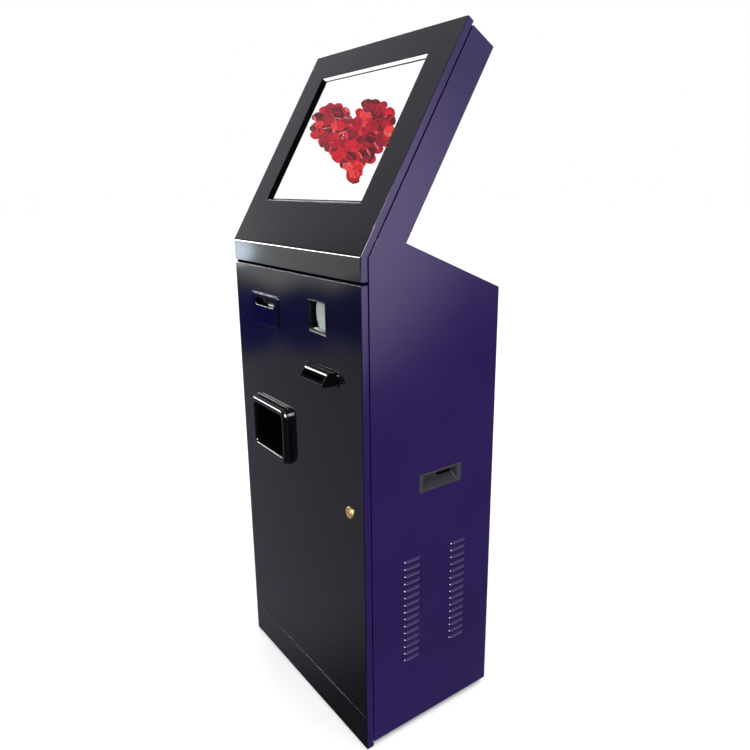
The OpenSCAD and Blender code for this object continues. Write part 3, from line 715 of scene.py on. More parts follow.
@dataclass(frozen=True)
class Folded:
    """A CAD part whose shape is right, shown with softened edges.

    Attributes:
        node: its CAD node.
        look: its finish.
        body: what it rides on.
        edge: radius of its softened edges.
        angle: how sharp an edge has to be to be softened.
        fold: how far the press-brake round of its level folds reaches, if they are to be rounded.
    """

    node: str
    look: Finish
    body: Body
    edge: float = 0.5
    angle: float = 26.0
    fold: float = 0.0

    def build(self) -> None:
        """Builds the softened copy, which stands for its node."""
        piece = Bench.copy_of(self.node, f"{self.node}_skin")
        if self.fold:
            self.round_folds(piece)
        Bench.round_edges(piece, self.edge, 3, self.angle)
        Bench.finish(piece, self.look, self.body, self.node)

    def round_folds(self, piece: bpy.types.Object) -> None:
        """Rounds the level edges where the sheet turns back by the slope's angle.

        Args:
            piece: the copy, before its edges are softened.
        """
        level, margin_deg, steps = 0.999, 3.0, 8
        Bench.pick(piece)
        bpy.ops.object.mode_set(mode="EDIT")
        bpy.ops.mesh.select_mode(type="EDGE")
        bpy.ops.mesh.select_all(action="DESELECT")
        mesh = bmesh.from_edit_mesh(piece.data)
        for edge in mesh.edges:
            a, b = (v.co for v in edge.verts)
            if abs((a - b).normalized().x) > level and len(edge.link_faces) == 2:
                edge.select = abs(math.degrees(edge.calc_face_angle()) - SLOPE_DEG) < margin_deg
        bmesh.update_edit_mesh(piece.data)
        bpy.ops.mesh.bevel(offset=self.fold * MM, segments=steps)
        bpy.ops.object.mode_set(mode="OBJECT")


def carry(look: Finish, *nodes: str, edge: float = 0.35) -> None:
    """Shows CAD parts as they are, with a finish and a small live radius on their edges.

    Args:
        look: their finish.
        nodes: their CAD nodes.
        edge: radius of their edges.
    """
    for node in nodes:
        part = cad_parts[node]
        part.data.materials.clear()
        part.data.materials.append(look.make())
        part.modifiers.new("merge", "WELD").merge_threshold = 0.00001
        bevel = part.modifiers.new("edge", "BEVEL")
        bevel.width = edge * MM
        bevel.segments = 2
        bevel.limit_method = "ANGLE"
        bevel.angle_limit = math.radians(32)
        part.modifiers.new("shade", "WEIGHTED_NORMAL").keep_sharp = True
        LOG.info("%s: kept", node)


@dataclass
class Cabinet:
    """The folded steel cabinet, its inner sheets and the equipment that stands in it.

    Attributes:
        sheets: its outer sheets.
        case_edge: radius of the equipment cases' edges.
        screw_across: how far the rear cover's screws stand from the middle.
        screw_rows: heights of the screws.
        screw_depth: depth of the screws' heads behind the front plane.
        screw_head: radius and height of a screw's head.
        recess: half width and half length of one arm of a screw's cross.
    """

    sheets: tuple[str, ...] = ("side_panel_right", "side_panel_left", "roof_panel", "head_back_panel",
                               "head_top_panel", "rear_cover", "rear_sill")
    case_edge: float = 0.8
    screw_across: float = 235.0
    screw_rows: tuple[float, ...] = (150.0, 400.0, 660.0, 912.0)
    screw_depth: float = 343.2
    screw_head: Pair = (4.0, 1.6)
    recess: Pair = (0.5, 2.4)

    def build(self) -> None:
        """Builds the outer sheets and dresses the rest."""
        for node in self.sheets:
            Folded(node, PURPLE_PAINT, Body.CABINET).build()
        carry(PURPLE_PAINT, "cover_flanges", "cross_rail", "lock_jamb")
        Folded("plinth_shell", PURPLE_PAINT, Body.CABINET, 2.2).build()
        Folded("plinth_face", BLACK_PAINT, Body.CABINET, 0.7).build()
        carry(ZINC, "base_pan", "door_hinge_arms", "head_hinge_leaves", "latch_housing", "latch_bolt")
        carry(RUBBER, "door_bumpers", "cable_grommet")
        carry(GREY_ABS, "computer_case", edge=self.case_edge)
        carry(ALUMINIUM, "power_supply")
        carry(SATIN_ABS, "fan_frame", "fan_rotor", "power_inlet")
        carry(RED_ABS, "rocker_switch", edge=0.3)
        Folded("levelling_feet", ZINC, Body.CABINET, 0.8).build()
        self.cover_screws()

    def cover_screws(self) -> None:
        """Pan-head screws with a cross recess, at the edges of the rear cover."""
        screws = []
        thin, long = self.recess
        for x in (-self.screw_across, self.screw_across):
            for z in self.screw_rows:
                head = Bench.rod("screw", (x, self.screw_depth, z), *self.screw_head, Axis.Y, 32)
                Bench.round_edges(head, 1.2, 4, 40)
                for half, tall in ((thin, long), (long, thin)):
                    Bench.carve(head, Bench.block("recess", (x - half, self.screw_depth, z - tall),
                                                  (x + half, self.screw_depth + 1.8, z + tall)))
                screws.append(head)
        joined = Bench.join("cover_screws", screws)
        Bench.finish(Bench.shade(joined), ZINC, Body.CABINET, "rear_cover_screws")


@dataclass
class FlushHandle:
    """A moulded handle cup let into a side panel, with a sloping floor.

    Attributes:
        facing: the side it is in.
        centre: middle of the rim, from the front plane and above the plinth's edge.
        rim: half length and half height of the rim.
        stand: how far the rim stands out.
        cup: half length and half height of the cup's mouth.
        back: depth and half sizes of its back, from the bottom to the panel.
        floor: depth, half sizes, corner radius and lift of the cup's rings, down to its floor.
        shade_low: lower corner of the black sheet that paints the shade in the hollow behind the grip, from
            the centre.
        shade_high: upper corner of that sheet.
        shade_depth: back and front of that sheet.
    """

    facing: Facing
    centre: Pair = (192.4, 570.6)
    rim: Pair = (56.7, 20.1)
    stand: float = 1.6
    cup: Pair = (45.5, 14.6)
    back: tuple[tuple[float, Pair], ...] = ((20.0, (44.0, 16.0)), (18.0, (46.0, 16.6)), (2.0, (49.6, 17.3)),
                                            (0.0, (49.6, 17.3)))
    floor: tuple[tuple[float, Pair, float, float], ...] = (
        (4.0, (44.6, 14.8), 3.2, 2.4), (16.0, (43.0, 15.2), 3.0, 12.0), (17.4, (41.0, 13.6), 2.4, 12.0))
    shade_low: Pair = (4.0, -1.6)
    shade_high: Pair = (41.5, 13.6)
    shade_depth: Pair = (17.6, 15.2)

    def ring(self, depth: float, half: Pair, radius: float, lift: float = 0.0) -> Ring:
        """A ring about the handle's middle; lift raises its lower edge."""
        y, z = self.centre
        return Ring(depth, (y - half[0], z - half[1] + lift), (y + half[0], z + half[1]), radius)

    def build(self) -> None:
        """Builds the cup, and a black sheet in it that paints the shade of its hollow."""
        rings = [self.ring(depth, half, 3.0) for depth, half in self.back]
        rings.append(self.ring(0.0, self.rim, 2.2))
        rings += edge_round(self.ring(-self.stand, self.rim, 2.2), 0.9)
        rings += edge_round(self.ring(-self.stand, self.cup, 3.0), 1.5, inwards=True)
        rings += [self.ring(*step) for step in self.floor]
        side = self.facing.value
        cup = loft(f"handle_cup_{side}", rings, self.facing, 6, looped=False)
        Bench.finish(cup, GREY_ABS, Body.CABINET, f"handle_{side}")
        # Painted shade: a thin black sheet without reflection over the upper back wall of the cup, where the
        # hollow lies in shadow.
        y, z = self.centre
        (y0, z0), (y1, z1) = self.shade_low, self.shade_high
        back, front = self.shade_depth
        well = Ring(back, (y + y0, z + z0), (y + y1, z + z1), 2.0)
        rings = [well, well.grown(front + 0.4), well.grown(front, -0.5, -0.5)]
        Bench.finish(loft(f"handle_painted_shade_{side}", rings, self.facing, 4, looped=False), DEEP_SHADE_ABS, Body.CABINET)


@dataclass
class FrontDoor:
    """The lower door: folded purple shell, black facing, and its hinges and brackets.

    Attributes:
        seal_inset: how far the seal under the head door stays inside the cabinet, left and right.
        seal_depth: front and back of the seal, behind the front plane.
        seal_fill: how much of the gap it fills; its black also paints the gap's shade.
        case_edge: radius of the equipment cases' edges.
    """

    seal_inset: Pair = (2.0, 1.2)
    seal_depth: Pair = (3.2, 14.5)
    seal_fill: float = 0.7
    case_edge: float = 0.8

    def build(self) -> None:
        """Builds the door's sheets and its seal, and dresses what is fixed behind them."""
        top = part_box("front_door_shell")[1].z / MM - BASE_Z
        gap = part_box("head_door_shell")[0].z / MM - BASE_Z - top
        # The seal is partly real and partly painted shade: a black strip without reflection that hides the
        # lit top of the door in the gap.
        seal = Bench.block("door_seal_shade", (-HALF_W + self.seal_inset[0], self.seal_depth[0], top - 0.2),
                           (HALF_W - self.seal_inset[1], self.seal_depth[1], top + self.seal_fill * gap))
        Bench.round_edges(seal, 0.5)
        Bench.finish(seal, DEEP_SHADE_ABS, Body.FRONT_DOOR)
        Folded("front_door_shell", PURPLE_PAINT, Body.FRONT_DOOR, 1.0).build()
        Folded("front_door_face", BLACK_PAINT, Body.FRONT_DOOR, 0.7).build()
        carry(ZINC, "door_hinge_leaves", "door_hinge_pins", "cash_box_cradle", "printer_frame",
              "ticket_chute")
        carry(GREY_ABS, "card_reader_body", edge=self.case_edge)
        carry(SATIN_ABS, "scanner_module", edge=0.6)
        carry(GREY_ABS, "bill_acceptor", "cash_box", edge=self.case_edge)
        carry(PAPER, "paper_roll", edge=0.3)
        carry(RUBBER, "platen_roller", edge=0.3)
        carry(DEEP_SHADE_ABS, "ticket_bin_tray", edge=self.case_edge)


@dataclass
class CardReader:
    """Polished black plate round the card slot.

    Attributes:
        plate: its outline.
        slot: the slot's outline.
        throat: depth behind the plate that the slot reaches.
        glint_low: lower front corner of the pale card guide, whose colour paints the glint inside the slot.
        glint_high: upper back corner of that guide.
    """

    plate: Ring = Ring(-3.0, (-175.0, 855.0), (-50.0, 924.0), 6.0)
    slot: Ring = Ring(-3.0, (-155.0, 898.0), (-69.0, 914.0), 2.5)
    throat: float = 14.0
    glint_low: Point = (-104.0, 2.0, 899.8)
    glint_high: Point = (-72.5, 10.0, 902.6)

    def build(self) -> None:
        """Builds the plate with its rounded slot, and the pale card guide inside it, whose colour is a
        painted highlight.
        """
        rings = [self.plate.grown(0.0), *edge_round(self.plate, 1.4),
                 *edge_round(self.slot, 1.6, inwards=True)]
        for depth, across, up, radius in ((8.0, -1.5, -3.0, 1.5), (self.throat, -2.0, -4.0, 1.5),
                                          (self.throat, 3.0, 2.0, 3.0), (0.0, 3.0, 2.0, 3.0)):
            rings.append(self.slot.grown(depth, across, up, radius))
        Bench.finish(loft("card_slot_plate", rings), GLOSS_ABS, Body.FRONT_DOOR, "card_reader_bezel")
        # Painted highlight: the guide's pale colour stands in for the glint just above the slot's lower lip.
        guide = Bench.block("card_guide_glint", self.glint_low, self.glint_high)
        Bench.round_edges(guide, 0.8)
        Bench.finish(guide, PALE_ABS, Body.FRONT_DOOR)


@dataclass
class CodeScanner:
    """The code reader's hood, window and pale reading lens.

    Attributes:
        hood: outline of the hood's front.
        wall: thickness of its walls.
        back: depth that the hood reaches.
        pane: front and back of the window.
        lens_centre: middle of the lens, across and up.
        lens_radius: radius of the lens.
        lens_depth: back, front, hollow and middle of the lens.
        sill: front, back and height of the pale ledge under the lens, painted light for the lit lower wall of
            the window.
    """

    hood: Ring = Ring(-1.0, (74.5, 874.5), (138.0, 938.0), 1.5)
    wall: float = 2.4
    back: float = 34.0
    pane: Pair = (8.0, 10.0)
    lens_centre: Pair = (127.0, 913.0)
    lens_radius: float = 42.5
    lens_depth: tuple[float, ...] = (15.8, 11.2, 12.6, 13.2)
    sill: tuple[float, float, float] = (10.4, 30.0, 2.6)

    def build(self) -> None:
        """Builds hood, glass, lens, and the pale ledge that paints the lit lower wall."""
        inner = self.hood.grown(self.hood.depth, -self.wall, -self.wall, 1.2)
        rings = [self.hood.grown(0.0), *edge_round(self.hood, 0.7), *edge_round(inner, 1.1, inwards=True),
                 inner.grown(self.back), self.hood.grown(self.back)]
        Bench.finish(loft("scanner_hood", rings), GLOSS_ABS, Body.FRONT_DOOR, "scanner_frame")
        (x0, z0), (x1, z1) = inner.low, inner.high
        glass = Bench.block("scanner_glass", (x0, self.pane[0], z0), (x1, self.pane[1], z1))
        Bench.round_edges(glass, 0.3, 2)
        Bench.finish(glass, TINT_GLASS, Body.FRONT_DOOR, "scanner_window")
        self.lens(inner)
        # Painted light: the pale ledge stands in for the window's lower wall lit by the room.
        front, back, height = self.sill
        sill = Bench.block("scanner_sill_painted_light", (x0 + 0.1, front, z0), (x1 - 0.1, back, z0 + height))
        Bench.round_edges(sill, 1.0)
        Bench.finish(sill, PALE_ABS, Body.FRONT_DOOR)

    def lens(self, inner: Ring) -> None:
        """The reading lens, a pale dish trimmed by the hood's walls.

        Args:
            inner: the hood's inner outline.
        """
        back, front, hollow, middle = self.lens_depth
        rings = [disc(back, self.lens_centre, self.lens_radius)]
        rings += edge_round(disc(front, self.lens_centre, self.lens_radius), 1.6)
        rings += [disc(hollow, self.lens_centre, self.lens_radius * 0.6), disc(middle, self.lens_centre, 6.0)]
        dish = loft("reading_lens", rings, steps=12, looped=False)
        (x0, z0), (x1, z1) = inner.low, inner.high
        keep = Bench.block("keep", (x0 + 0.2, 11.0, z0 + 3.5), (x1 - 0.2, 16.0, z1 - 0.2))
        Bench.carve(dish, keep, "INTERSECT")
        Bench.finish(Bench.shade(dish), PALE_ABS, Body.FRONT_DOOR)


@dataclass
class BillMouth:
    """The banknote mouth's polished snout.

    Attributes:
        edge: radius of its edges.
        middle: its middle, across.
        half: half width of the shade plate and of the highlight trims on it.
        foot: lower end of its sloping front, in depth and height.
        head: upper end of its sloping front.
        slot: lower and upper edge of the slot.
        half_slot: half the slot's width.
        shade_plate_depth: front and back of the black plate that paints the mouth's shade, square to the
            sloping front.
        shade_plate_ends: how far that plate stays from the slope's lower and upper end.
        lower_highlight: lower front and upper back corner of the lower highlight trim, from the foot.
        upper_highlight: middle of the upper highlight trim, from the head.
        trim: radius of the upper highlight trim.
    """

    edge: float = 1.3
    middle: float = 116.0
    half: float = 40.0
    foot: Pair = (-27.0, 786.0)
    head: Pair = (-14.0, 802.0)
    slot: Pair = (789.8, 796.2)
    half_slot: float = 37.2
    shade_plate_depth: Pair = (-0.35, 0.3)
    shade_plate_ends: Pair = (1.2, 0.9)
    lower_highlight: tuple[Pair, Pair] = ((0.1, -3.4), (1.6, -0.2))
    upper_highlight: Pair = (0.6, 0.3)
    trim: float = 1.9

    def build(self) -> None:
        """Builds the snout with rounded edges, a black plate of painted shade on its front and bright trims
        of painted highlight on its lips.
        """
        piece = Bench.copy_of("bill_snout", "bill_snout_moulding")
        Bench.round_edges(piece, self.edge, 4, 30.0)
        Bench.finish(piece, GLOSS_ABS, Body.FRONT_DOOR, "bill_snout")
        self.plate()
        self.lip_highlights()

    def plate(self) -> None:
        """A black plate without reflection on the sloping front, with the slot through it: painted shade for
        the mouth's recess.
        """
        (y0, z0), (y1, z1) = self.foot, self.head
        top = math.hypot(y1 - y0, z1 - z0) - self.shade_plate_ends[1]
        front, back = self.shade_plate_depth
        # Painted shade: this plate stands in for the dark of the recessed mouth between the lips.
        plate = Bench.block("bill_mouth_shade_plate", (self.middle - self.half, front, self.shade_plate_ends[0]),
                            (self.middle + self.half, back, top))
        lean = Matrix.Rotation(-math.atan2(y1 - y0, z1 - z0), 4, "X")
        there, home = Matrix.Translation(place(0.0, y0, z0)), Matrix.Translation(-place(0.0, 0.0, 0.0))
        plate.data.transform(there @ lean @ home)
        Bench.carve(plate, Bench.block("slot", (self.middle - self.half_slot, -40.0, self.slot[0]),
                                       (self.middle + self.half_slot, 10.0, self.slot[1])))
        Bench.finish(plate, DEEP_SHADE_ABS, Body.FRONT_DOOR)

    def lip_highlights(self) -> None:
        """Bright trims along the lower and the upper lip: painted highlights for the white lines along the
        lips' edges.
        """
        (y0, z0), (y1, z1) = self.foot, self.head
        (front, low), (back, high) = self.lower_highlight
        # Painted highlight: these near-white trims draw the bright lines that the lips' rounded edges would
        # mirror.
        lower = Bench.block("lip", (self.middle - self.half, y0 + front, z0 + low),
                            (self.middle + self.half, y0 + back, z0 + high))
        Bench.round_edges(lower, 0.6, 4)
        centre = (self.middle, y1 + self.upper_highlight[0], z1 + self.upper_highlight[1])
        upper = Bench.rod("lip", centre, self.trim, 2 * self.half, Axis.X, 32)
        Bench.round_edges(upper, 0.5, 3, 50.0)
        Bench.finish(Bench.join("bill_lip_highlights", [lower, upper]), HIGHLIGHT_TRIM, Body.FRONT_DOOR)


@dataclass
class TicketBin:
    """The rounded frame round the ticket bin.

    Attributes:
        flange: outline of the thin flange against the door.
        bar: outline of the fat rounded bar on it.
        mouth: outline of the opening.
        back: how far the opening's wall reaches behind the door's face.
    """

    flange: Ring = Ring(-2.6, (-189.0, 548.0), (-14.0, 685.0), 24.0)
    bar: Ring = Ring(-17.0, (-185.5, 551.0), (-17.5, 682.5), 22.0)
    mouth: Ring = Ring(-17.0, (-163.0, 570.0), (-34.0, 666.0), 7.0)
    back: float = 3.4

    def build(self) -> None:
        """Builds the frame."""
        rings = [self.flange.grown(0.0), *edge_round(self.flange, 1.2)]
        rings += [self.bar.grown(self.flange.depth), *edge_round(self.bar, 10.0, turns=10)]
        rings += edge_round(self.mouth, 4.5, inwards=True, turns=7)
        rings += [self.mouth.grown(self.back, radius=6.0), self.mouth.grown(self.back, 3.0, 3.0, 6.0),
                  self.mouth.grown(0.0, 3.0, 3.0, 6.0)]
        surround = loft("ticket_bin_surround", rings, steps=10)
        Bench.finish(surround, GLOSS_ABS, Body.FRONT_DOOR, "ticket_bin_frame")


@dataclass
class CamLock:
    """Brass cam lock: turned barrel with its nut, and a plug with a keyway.

    Attributes:
        centre: its middle, across and up.
        face: radius of its face.
        shank: radius of its threaded shank.
        plug: radius of its plug.
        front: depth of its face, which stands out of the door.
        back: depth that the shank reaches.
        nut: depth, radius and thickness of its nut.
        keyway: half width and half height of the keyway.
    """

    centre: Pair = (207.6, 531.5)
    face: float = 12.3
    shank: float = 9.4
    plug: float = 6.5
    front: float = -3.0
    back: float = 21.0
    nut: tuple[float, float, float] = (5.5, 13.0, 4.0)
    keyway: Pair = (0.8, 4.0)

    def build(self) -> None:
        """Builds barrel, plug and cam."""
        x, z = self.centre
        sizes = ((self.back, self.shank), (0.0, self.shank), (0.0, self.face))
        rings = [disc(depth, self.centre, radius) for depth, radius in sizes]
        rings += edge_round(disc(self.front, self.centre, self.face), 1.1)
        rings += edge_round(disc(self.front, self.centre, self.plug + 0.5), 0.7, inwards=True)
        rings += [disc(self.back, self.centre, self.plug + 0.2)]
        barrel = loft("barrel", rings, steps=10)
        nut = Bench.rod("nut", (x, self.nut[0], z), *self.nut[1:], Axis.Y, 6)
        Bench.round_edges(nut, 0.5, 2)
        Bench.finish(Bench.join("lock_barrel_turned", [barrel, nut]), BRASS, Body.FRONT_DOOR, "lock_barrel")
        rings = [disc(self.back + 2.0, self.centre, self.plug),
                 *edge_round(disc(self.front - 0.4, self.centre, self.plug), 0.5)]
        plug = loft("plug", rings, steps=10, looped=False)
        half, tall = self.keyway
        Bench.carve(plug, Bench.block("keyway", (x - half, -5.0, z - tall), (x + half, 12.0, z + tall)))
        Bench.finish(Bench.shade(plug), BRASS, Body.LOCK, "lock_plug")
        carry(ZINC, "lock_cam")


@dataclass
class HeadDoor:
    """The upper door with its tilted screen opening.

    Attributes:
        opening_low: lower corner of the liner in the opening, across and up the slope.
        opening_high: upper corner of that liner.
        liner_depth: front and back of the liner.
        liner_wall: thickness of the liner.
    """

    opening_low: Pair = (-184.9, 99.5)
    opening_high: Pair = (184.9, 408.6)
    liner_depth: Pair = (0.5, 9.9)
    liner_wall: float = 0.6

    def build(self) -> None:
        """Builds the sheets and the liner, and dresses the hidden parts."""
        Folded("head_door_shell", PURPLE_PAINT, Body.HEAD_DOOR, 2.2).build()
        Folded("head_door_face", BLACK_PAINT, Body.HEAD_DOOR, 0.7, fold=3.0).build()
        Folded("screen_surround", DEEP_SHADE_ABS, Body.HEAD_DOOR).build()
        front, back = self.liner_depth
        (x0, up0), (x1, up1) = self.opening_low, self.opening_high
        outer = Ring(front, (x0, slope_z(up0)), (x1, slope_z(up1)), 1.0)
        inner = outer.grown(front, -self.liner_wall, -self.liner_wall, 0.6)
        liner = loft("screen_liner", [outer, inner, inner.grown(back), outer.grown(back)], steps=3)
        Bench.finish_on_slope(liner, DEEP_SHADE_ABS)
        carry(ALUMINIUM, "lcd_panel")
        carry(GREY_ABS, "monitor_housing", edge=0.8)
        carry(ZINC, "head_door_hinge_leaves", "head_hinge_pins", "latch_catch")


@dataclass(frozen=True)
class PetalMix:
    """How the rose petals vary.

    Attributes:
        sizes: least and greatest half length, in the heart's units.
        widths: least and greatest half width, for a half length of one.
        shares: how often a face has each of the first five reds.
        rims: the two reds that a rim may have, for each red of the face.
        rim_shares: how often it has the first and the second.
        shift: how far the rim lies from the middle.
        trim: how narrow the rim is.
        rim_length: the rim's length as part of the face's.
        crumple: how far the outline wanders.
        heel: how much shorter the petal is at its heel.
        stray: how far a petal lies from its place in the row.
    """

    sizes: Pair = (0.115, 0.165)
    widths: Pair = (0.7, 0.98)
    shares: tuple[int, ...] = (5, 6, 3, 4, 4)
    rims: tuple[tuple[int, int], ...] = ((1, 3), (4, 2), (5, 0), (1, 5), (4, 5))
    rim_shares: tuple[int, int] = (3, 2)
    shift: Pair = (0.3, 0.62)
    trim: Pair = (0.14, 0.34)
    rim_length: float = 0.84
    crumple: float = 0.08
    heel: float = 0.25
    stray: float = 0.03


@dataclass(frozen=True)
class Sheet:
    """A flat box of the screen, drawn upright before it is laid back.

    Attributes:
        low: lower corner, across and up the slope.
        high: upper corner.
        front: depth of its front.
        back: depth of its back.
    """

    low: Pair
    high: Pair
    front: float
    back: float

    def build(self, name: str) -> bpy.types.Object:
        """The box, still upright."""
        (x0, up0), (x1, up1) = self.low, self.high
        return Bench.block(name, (x0, self.front, slope_z(up0)), (x1, self.back, slope_z(up1)))


@dataclass
class LitScreen:
    """Glass and lit picture: a heart laid out in rose petals on white.

    The heart is drawn upright for somebody at the viewing angle, in units of half its width and
    half its height; on the slope it is therefore skewed.

    Attributes:
        glass: the touch glass.
        picture: the white ground of the picture.
        mask: the dark sheet round the picture.
        lip: the opening's lower lip.
        strip: the glowing strip along the opening's top wall, painted light for that wall lit by the screen.
        marks: place across and radius of each mark on the strip.
        centre: middle of the heart, across and up the slope.
        across: where one unit across the heart leads, across and up the slope.
        upright: where one unit up the heart leads.
        bow: what the square of the units across adds, as the view narrows with distance.
        dip: how far the notch between the lobes is deepened.
        notch: half width of that notch.
        rows: how far out each row of petals lies, and how many petals it holds.
        petals: how the petals vary.
        deepest: depth of the first petal.
        pile: how much nearer the last petal lies.
        seed: start of the random draw.
    """

    glass: Sheet = Sheet((-196.0, 88.5), (196.0, 419.5), 10.1, 12.1)
    picture: Sheet = Sheet((-180.0, 112.0), (187.5, 406.3), 12.84, 12.9)
    mask: Sheet = Sheet((-189.0, 93.0), (189.0, 414.0), 12.91, 12.98)
    lip: Sheet = Sheet((-184.2, 100.0), (184.2, 103.2), 0.3, 9.9)
    strip: Sheet = Sheet((-183.4, 407.4), (183.4, 408.6), 1.2, 9.6)
    marks: tuple[Pair, ...] = ((-181.0, 0.9), (0.0, 1.5), (150.0, 0.8), (176.0, 1.2), (180.0, 1.2))
    centre: Pair = (41.0, 246.0)
    across: Pair = (166.0, -10.1)
    upright: Pair = (-69.4, 96.2)
    bow: Pair = (-16.1, 1.0)
    dip: float = 0.3
    notch: float = 0.32
    rows: tuple[tuple[float, int], ...] = (
        (0.8, 20), (0.66, 18), (0.88, 32), (0.7, 28), (0.52, 24), (0.34, 16), (0.62, 20), (0.44, 14),
        (0.17, 8), (0.78, 16), (0.86, 10))
    petals: PetalMix = PetalMix()
    deepest: float = 12.82
    pile: float = 0.6
    seed: int = 11

    def build(self) -> None:
        """Builds glass, white ground, mask, petals, the glowing strip of painted light and lower lip."""
        glass = self.glass.build("screen_glass")
        Bench.round_edges(glass, 0.4, 2)
        Bench.finish_on_slope(glass, CLEAR_GLASS, "touch_glass")
        Bench.finish_on_slope(self.picture.build("picture_ground"), LIT_WHITE)
        Bench.finish_on_slope(self.mask.build("picture_mask"), DEEP_SHADE_ABS)
        self.strew()
        self.top_strip()
        lip = self.lip.build("screen_lip")
        Bench.round_edges(lip, 1.6, 5)
        Bench.finish_on_slope(lip, SATIN_ABS)

    def spot(self, x: float, y: float) -> Pair:
        """Place of a point of the heart, kept inside the picture.

        Args:
            x: the point across, in the heart's units.
            y: the point upwards.

        Returns:
            The place, across and up the slope.
        """
        margin = 0.3
        left, (right, high) = self.picture.low[0], self.picture.high
        over, up = (self.centre[i] + self.across[i] * x + self.upright[i] * y + self.bow[i] * x * x
                    for i in (0, 1))
        return min(max(over, left + margin), right - margin), min(up, high - margin)

    def heart(self, reach: float, turn: float) -> Pair:
        """Point of the heart's outline at an angle, drawn in towards the middle when reach is under one."""
        rise = 13 * math.cos(turn) - 5 * math.cos(2 * turn) - 2 * math.cos(3 * turn) - math.cos(4 * turn)
        return reach * math.sin(turn) ** 3, reach * (rise + 2.55) / 14.45

    def strew(self) -> None:
        """Lays the petals row by row along the heart's outline, sorted into their reds."""
        draw = random.Random(self.seed)
        stray = self.petals.stray
        reds: list[list[bpy.types.Object]] = [[] for _ in LIT_REDS]
        total = sum(count for _, count in self.rows)
        laid = 0
        for reach, count in self.rows:
            for i in range(count):
                x, y = self.heart(reach, math.tau * (i + draw.uniform(-0.3, 0.3)) / count)
                x += draw.uniform(-stray, stray)
                y += draw.uniform(-stray, stray)
                if y > 0:
                    y -= self.dip * max(0.0, 1 - abs(x) / self.notch)
                for red, leaf in self.petal(draw, (x, y), self.deepest - self.pile * laid / total):
                    reds[red].append(leaf)
                laid += 1
        for red, group in enumerate(reds):
            Bench.finish_on_slope(Bench.join(f"petals_{red}", group), LIT_REDS[red])

    def petal(self, draw: random.Random, at: Pair, depth: float) -> list[tuple[int, bpy.types.Object]]:
        """One petal: a broad rounded face, with a fold or a turned-up rim of another red.

        Args:
            draw: the seeded source of its turn, size and crumple.
            at: its middle, in the heart's units.
            depth: how deep it lies.

        Returns:
            Its two leaves, each with the number of its red.
        """
        mix = self.petals
        turn, size, narrow = draw.uniform(0, math.tau), draw.uniform(*mix.sizes), draw.uniform(*mix.widths)
        face = draw.choices(range(len(mix.shares)), mix.shares)[0]
        rim = draw.choices(mix.rims[face], mix.rim_shares)[0]
        shift, trim = draw.uniform(*mix.shift), draw.uniform(*mix.trim)
        leaves = []
        for red, grow, offset, squash, lift in ((face, 1.0, 0.0, 1.0, 0.0),
                                                (rim, mix.rim_length, shift, trim, 0.002)):
            Bench.clear()
            bpy.ops.mesh.primitive_circle_add(vertices=18, radius=1.0, fill_type="TRIFAN")
            leaf = bpy.context.object
            for vert in leaf.data.vertices:
                angle = math.atan2(vert.co.y, vert.co.x)
                reach = vert.co.length * (1 + draw.uniform(-mix.crumple, mix.crumple))
                reach *= 1 - mix.heel * max(0.0, -math.cos(angle)) ** 2
                u = size * (grow * squash * reach * math.cos(angle) + offset)
                v = size * grow * reach * math.sin(angle) * narrow
                x, up = self.spot(at[0] + u * math.cos(turn) - v * math.sin(turn),
                                  at[1] + u * math.sin(turn) + v * math.cos(turn))
                vert.co = place(x, depth - lift, slope_z(up))
            leaves.append((red, Bench.settle(leaf, "leaf")))
        return leaves

    def top_strip(self) -> None:
        """A glowing strip under the opening's top edge, with its small marks: painted light for the top wall
        lit by the screen.
        """
        (x0, up0), (x1, up1) = self.strip.low, self.strip.high
        front = Ring(self.strip.front, (x0, slope_z(up0)), (x1, slope_z(up1)), 0.55)
        rings = [front.grown(self.strip.back), *edge_round(front, 0.4)]
        # Painted light: the strip glows with the picture's white instead of being lit.
        Bench.finish_on_slope(loft("top_wall_painted_light", rings, steps=3, looped=False), LIT_WHITE)
        marks = [Bench.rod("mark", (x, 5.4, slope_z(up0 - 0.02)), radius, 0.2, Axis.Z, 16)
                 for x, radius in self.marks]
        Bench.finish_on_slope(Bench.join("strip_marks", marks), LIT_INK)


# ------------------------------------------------------------------ stage


@dataclass(frozen=True)
class SoftBox:
    """A studio lamp.

    Attributes:
        name: the lamp's name.
        spot: where it stands.
        aim: what it faces.
        sides: its width and height, in metres.
        power: its power in watts.
        lights: False for a lamp that is only mirrored, to draw bright lines along rounded edges.
    """

    name: str
    spot: tuple[float, float, float]
    aim: tuple[float, float, float]
    sides: tuple[float, float]
    power: float
    lights: bool = True

    def build(self) -> None:
        """Adds the lamp."""
        lamp = bpy.data.lights.new(self.name, "AREA")
        lamp.shape = "RECTANGLE"
        lamp.size, lamp.size_y = self.sides
        lamp.energy = self.power
        holder = bpy.data.objects.new(self.name, lamp)
        bpy.context.scene.collection.objects.link(holder)
        holder.location = self.spot
        holder.rotation_euler = (Vector(self.aim) - Vector(self.spot)).to_track_quat("-Z", "Y").to_euler()
        holder.visible_diffuse = self.lights
        holder.visible_camera = False


@dataclass(frozen=True)
class Patch:
    """A soft round patch of the room, as the gloss of the machine mirrors it.

    Attributes:
        toward: direction of its middle.
        full_deg: radius of its even part.
        fade_deg: radius at which it has gone.
        colour: sRGB hex of the patch.
        strength: its brightness.
    """

    toward: tuple[float, float, float]
    full_deg: float
    fade_deg: float
    colour: str
    strength: float


